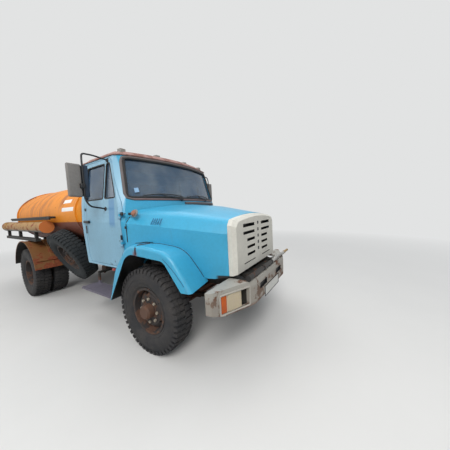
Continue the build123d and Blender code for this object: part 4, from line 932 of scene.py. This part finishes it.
def soft_sky():
    """World with the backdrop's colour where it is seen, and a soft pale sky as light."""
    world = bpy.data.worlds.new("soft_sky")
    world.use_nodes = True
    tree = world.node_tree
    tree.nodes.clear()
    height = axes(add_node(tree, "TexCoord").outputs["Generated"])[2]
    plain = blended(ramp(height, -0.04, 0.06), linear("#A9A7A3"), linear("#C9CED4"))
    soft = add_node(tree, "Background", {"Color": plain, "Strength": SKY_STRENGTH}).outputs[0]
    seen = add_node(tree, "Background", {"Color": linear(BACKDROP), "Strength": 1.0}).outputs[0]
    mixed = add_node(tree, "MixShader", {0: background_rays(tree), 1: soft, 2: seen}).outputs[0]
    add_node(tree, "OutputWorld", {"Surface": mixed})
    return world


class TRUCK_OT_stage(bpy.types.Operator):
    """Floor, lights, sky and camera"""

    bl_idname = "truck.stage"
    bl_label = "Stage"

    def execute(self, context):
        scene = context.scene
        chosen()
        bpy.ops.mesh.primitive_plane_add(size=FLOOR_SIZE)
        floor = context.object
        floor.name = "floor"
        floor.data.materials.append(floor_material())
        scene.world = soft_sky()
        for name, spot, size, power in LAMPS:
            bpy.ops.object.light_add(type="AREA", location=spot)
            lamp = context.object
            lamp.name = name + "_light"
            lamp.data.size = size
            lamp.data.energy = power
            lamp.rotation_euler = (Vector(LAMP_AIM) - Vector(spot)).to_track_quat("-Z", "Y").to_euler()
        bpy.ops.object.camera_add()
        camera = context.object
        camera.name = "photo_camera"
        camera.matrix_world = camera_matrix()
        camera.data.sensor_width = SENSOR_WIDTH
        camera.data.lens = SENSOR_WIDTH * FOCAL_PIXELS / IMAGE_PIXELS
        camera.data.clip_end = VIEW_END
        scene.camera = camera
        scene.view_settings.view_transform = "Standard"
        return {"FINISHED"}


# Tank: top of the red-brown belly, which is painted shade of the lower half with dirt, weld lines along x,
# and white patches as x and z limits
SHADED_BELLY_TOP = 1.57
WELDS = (-1.8, -2.95, -4.05)
WELD_HALF = 0.008
PATCHES = ((-2.34, -2.03, 1.895, 1.955), (-2.33, -1.87, 1.752, 1.818))


def tank_paint(paints):
    """Orange tank: rust runs from the top, a red-brown belly that is painted shade of the lower half with
    dirt, weld lines and two blank white patches.
    """
    made = weathered("tank_orange", paints.tank, paints.streak, 0.66, 0.75, 1.35, 0.55)
    place = made[2]
    x, y, z = coordinates(made, "xyz")
    runs = ramp(noise(place, 5.5, 5.0, (1.0, 0.35, 0.1)), 0.52, 0.62)
    drips = ramp(noise(place, 7.0, 3.0, (1.6, 1.0, 0.03)), 0.5, 0.62)
    where = product(zone(z, 1.62, 1.98, 0.06), ramp(x, -2.9, -3.1), 0.5)
    welds = [product(zone(x, weld - WELD_HALF, weld + WELD_HALF, 0.003), 0.35) for weld in WELDS]
    right = ramp(y, -0.7, -0.72)
    patches = [product(zone(x, x0, x1), zone(z, z0, z1), right) for x0, x1, z0, z1 in PATCHES]
    return layered(made, (product(runs, ramp(z, 1.72, 2.15), 0.9), paints.streak),
                   # The red-brown belly below the belly's top is painted shade of the lower half, with dirt
                   (ramp(z, SHADED_BELLY_TOP, SHADED_BELLY_TOP - 0.01), shaded(paints.belly_shade, 0.9)),
                   (product(drips, where), paints.streak),
                   *[(weld, shaded(paints.tank, 0.55)) for weld in welds],
                   *[(patch, linear("#F1EFEA")) for patch in patches])


def lamp_material():
    """Lamp units: cream lens, orange indicator and dark housing in front, red ones behind."""
    material, shader, place = new_material("lamp_glass")
    x, y = axes(place)[:2]
    side = arithmetic("ABSOLUTE", y)
    colour = blended(zone(side, 0.719, 0.881, 0.001), linear("#3A3733"), linear("#D9CDB4"))
    colour = blended(zone(side, 0.889, 0.9545, 0.001), colour, linear("#D2691F"))
    rear = blended(zone(side, 0.64, 0.76), linear("#8E1F18"), linear("#C9651E"))
    fed(shader, {"Base Color": blended(ramp(x, 0.0, 0.01), rear, colour), "Roughness": 0.22})
    return material


def grille_paint(paints):
    """Off-white grille with near-black painted shade on the walls within its slots."""
    made = weathered("grille_white", paints.grille, linear("#8A5A3C"), 0.71, 0.0, 0.75, 0.5)
    x, side, z = coordinates(made, "xsz")
    # Painted shade in near black on the slot walls behind the grille's face
    inside = product(ramp(x, 0.969, 0.9685), ramp(side, 0.46, 0.455), zone(z, 0.985, 1.485))
    return layered(made, (inside, linear("#151517")))


def case_paint(paints):
    """Ochre hose case with an orange-rust end and a grey underside."""
    made = weathered("case_orange", paints.case, paints.streak, 0.6, 0.35, 1.38)
    x, z = coordinates(made, "xz")
    return layered(made, (ramp(z, 1.44, 1.415), linear("#7D7B74")),
                   (ramp(x, -2.735, -2.728), linear("#C8743B")))


def guard_paint(paints):
    """Mudguard: orange-brown outside, with near-black painted shade on its underside over the tyres."""
    made = weathered("mudguard_rust", paints.guard, paints.streak, 0.56, 0.3, 0.7, 0.6)
    x, z = coordinates(made, "xz")
    # Painted shade in near black on the mudguard's underside over the tyres
    return layered(made, (ramp(off_axle(x, z, -WHEELBASE), 0.6772, 0.6765), linear("#1D1A17")))


def bumper_paint(paints):
    """Grey bumper: light top with its face darker and browner as painted shade, rust along the bottom, and
    near-black painted shade in its two holes.
    """
    made = weathered("bumper_grey", paints.bumper, linear("#6E4A35"), 0.6, 0.3, 0.66, 0.55)
    x, side, z = coordinates(made, "xsz")
    # Painted shade in near black in the bumper's two holes
    hole = product(zone(side, 0.17, 0.41), zone(z, 0.726, 0.804),
                   ramp(x, BUMPER_X - 0.0005, BUMPER_X - 0.001))
    # The face below the top is darker and browner as painted shade
    return layered(made, (product(ramp(z, 0.84, 0.8), 0.45), linear("#7F7469")),
                   (product(ramp(z, 0.655, 0.63), 0.6), linear("#6B4B3B")), (hole, linear("#151517")))


def cab_paint(paints):
    """Sky-blue paint: door-coloured sides round the doors, near-black painted shade on downward faces, in the
    wheel arches and low at the front, and rust at the wing's split.
    """
    made = weathered("cab_blue", paints.cab, linear("#7A4A3A"), 0.72, 0.12, 0.8, 0.34)
    x, side, z = coordinates(made, "xsz")
    beside = product(ramp(side, 0.915, 0.925), ramp(x, -0.435, -0.44), ramp(z, 0.9, 0.91))
    facing = axes(add_node(x.id_data, "TexCoord").outputs["Normal"])[2]
    # Painted shade in near black: on faces turned downwards low down, within the front wheel arches, and on
    # the valance low at the front between the wings
    under = product(ramp(facing, -0.25, -0.35), ramp(z, 1.4, 1.38))
    arch = product(ramp(off_axle(x, z, 0.0), 0.66, 0.65), ramp(side, 0.93, 0.92))
    valance = product(ramp(x, 0.72, 0.73), ramp(z, 0.925, 0.915), ramp(side, 0.69, 0.68))
    lip = product(zone(x, -0.03, 0.03, 0.02), ramp(side, 1.02, 1.04), zone(z, 1.16, 1.235, 0.02), 0.85)
    return layered(made, (beside, paints.door), (highest(under, arch, valance), linear("#1C1D1D")),
                   (lip, linear("#7A3B33")))


def door_paint(paints):
    """Faded door paint with upright scratches, a painted shadow of the mirror in bluer paint, and specks
    under the gutter.
    """
    made = weathered("door_blue", paints.door, linear("#5B5A5E"), 0.69, 0.25, 0.9, 0.38)
    place = made[2]
    x, z = coordinates(made, "xz")
    marks = product(ramp(noise(place, 26.0, 3.0, (1.0, 1.0, 0.14)), 0.7, 0.74), zone(z, 1.05, 1.52, 0.05))
    # Painted shadow of the mirror: a bluer strip down the door's front
    mirror_shadow = product(zone(x, -0.69, -0.56, 0.012), zone(z, 1.5, 1.86, 0.03), 0.75)
    specks = product(ramp(noise(place, 60.0, 4.0), 0.55, 0.62), ramp(z, 2.345, 2.365), 0.8)
    return layered(made, (marks, linear("#4C5358")), (mirror_shadow, linear("#4E88B8")), (specks, linear("#4A524E")))


def step_paint(paints, rust):
    """Black frame paint, with the two step plates worn to lilac grey."""
    made = weathered("chassis_black", paints.chassis, rust, 0.62, 0.2, 0.6, 0.7)
    x, side, z = coordinates(made, "xsz")
    plate = product(zone(x, -1.72, -0.6), ramp(side, 0.81, 0.82), zone(z, 0.5, 0.585))
    return layered(made, (plate, linear("#66626E")))


def pipe_paint(rust):
    """Front pipe: dark pipe, silver elbow and brass nozzle."""
    made = weathered("pipe_steel", linear("#242220"), rust, 0.68, 0.0, 0.9, 0.5)
    y = axes(made[2])[1]
    return layered(made, (zone(y, 0.1, 0.68), linear("#A3A19C")), (ramp(y, 0.68, 0.69), linear("#8F6F35")))


def rim_paint():
    """Rims darkened with painted shade, with rust in the disc, pale nuts and a brown cap on the front wheels.
    """
    # The dark base colour of the rims is painted shade
    made = weathered("rim_rust", linear("#332D2B"), linear("#5A4032"), 0.52, 0.0, 0.2, 0.75)
    x, side, z = coordinates(made, "xsz")
    away = off_axle(x, z, 0.0)
    outside = ramp(side, FRONT_TRACK / 2 + 0.069, FRONT_TRACK / 2 + 0.07)
    return layered(made, (product(zone(away, 0.118, 0.157, 0.001), outside), linear("#9A9080")),
                   (product(ramp(away, 0.088, 0.087), outside, 0.6), linear("#6A4A38")))


def window_glass():
    """Dusty tinted glass that takes the sky's light and still shows the cab behind it."""
    material, shader, place = new_material("glass")
    dust = ramp(noise(place, 3.0, 6.0), 0.35, 0.75)
    fed(shader, {"Base Color": blended(dust, linear("#5D7F9E"), linear("#A3B0BA")), "Roughness": 0.06,
                 "Transmission Weight": 0.66, "IOR": GLASS_IOR})
    return material


class TRUCK_OT_finishes(bpy.types.Operator):
    """Paint, rust, rubber and glass on every node of the frame"""

    bl_idname = "truck.finishes"
    bl_label = "Finishes"

    def execute(self, context):
        paints = context.scene.truck_paints
        rust = linear("#5E3A28")
        made = {
            "chassis_black": step_paint(paints, rust),
            "rusty_steel": weathered("rusty_steel", linear("#3A332C"), rust, 0.5, 0.0, 0.4, 0.75)[0],
            "engine_grey": weathered("engine_grey", linear("#4B4C4B"), rust, 0.6, 0.2, 0.8, 0.6)[0],
            "bumper_grey": bumper_paint(paints),
            "lamp_glass": lamp_material(),
            "pipe_steel": pipe_paint(rust),
            "cab_blue": cab_paint(paints),
            "door_blue": door_paint(paints),
            "roof_rust": weathered("roof_rust", paints.roof, linear("#8A6055"), 0.52, 0.0, 2.0, 0.75)[0],
            "glass": window_glass(),
            "seat_vinyl": simple("seat_plain", "#3A2C22", 0.5),
            "dash_grey": weathered("dash_grey", linear("#4E6574"), rust, 0.75, 0.0, 1.0, 0.5)[0],
            "tank_orange": tank_paint(paints),
            "case_orange": case_paint(paints),
            "mudguard_rust": guard_paint(paints),
            "grille_white": grille_paint(paints),
            "mirror_black": simple("mirror_black", "#1A1A1C", 0.45),
            "rim_rust": rim_paint(),
            "tyre_rubber": simple("tyre_plain", "#2A2A2D", 0.85),
        }
        for part in frame["record"]["subparts"]:
            node = frame["nodes"][part["node"]]
            node.data.materials.clear()
            node.data.materials.append(made[part["material_slot"]])
        return {"FINISHED"}


class TRUCK_PT_panel(bpy.types.Panel):
    bl_label = "Tanker Truck"
    bl_idname = "TRUCK_PT_panel"
    bl_space_type = "VIEW_3D"
    bl_region_type = "UI"
    bl_category = "Truck"

    def draw(self, context):
        for operator in OPERATORS:
            self.layout.operator(operator.bl_idname)


OPERATORS = (TRUCK_OT_stage, TRUCK_OT_finishes, TRUCK_OT_tyres, TRUCK_OT_glass_trim, TRUCK_OT_front_trim,
             TRUCK_OT_side_trim, TRUCK_OT_seats)
CLASSES = (TruckPaints, TruckSizes) + OPERATORS + (TRUCK_PT_panel,)


def register():
    for item in CLASSES:
        bpy.utils.register_class(item)
    bpy.types.Scene.truck_paints = bpy.props.PointerProperty(type=TruckPaints)
    bpy.types.Scene.truck_sizes = bpy.props.PointerProperty(type=TruckSizes)


def unregister():
    del bpy.types.Scene.truck_sizes
    del bpy.types.Scene.truck_paints
    for item in reversed(CLASSES):
        bpy.utils.unregister_class(item)


def main():
    register()
    bpy.ops.truck.stage()
    bpy.ops.truck.finishes()
    bpy.ops.truck.tyres()
    bpy.ops.truck.glass_trim()
    bpy.ops.truck.front_trim()
    bpy.ops.truck.side_trim()
    bpy.ops.truck.seats()


if __name__ == "__main__":
    main()
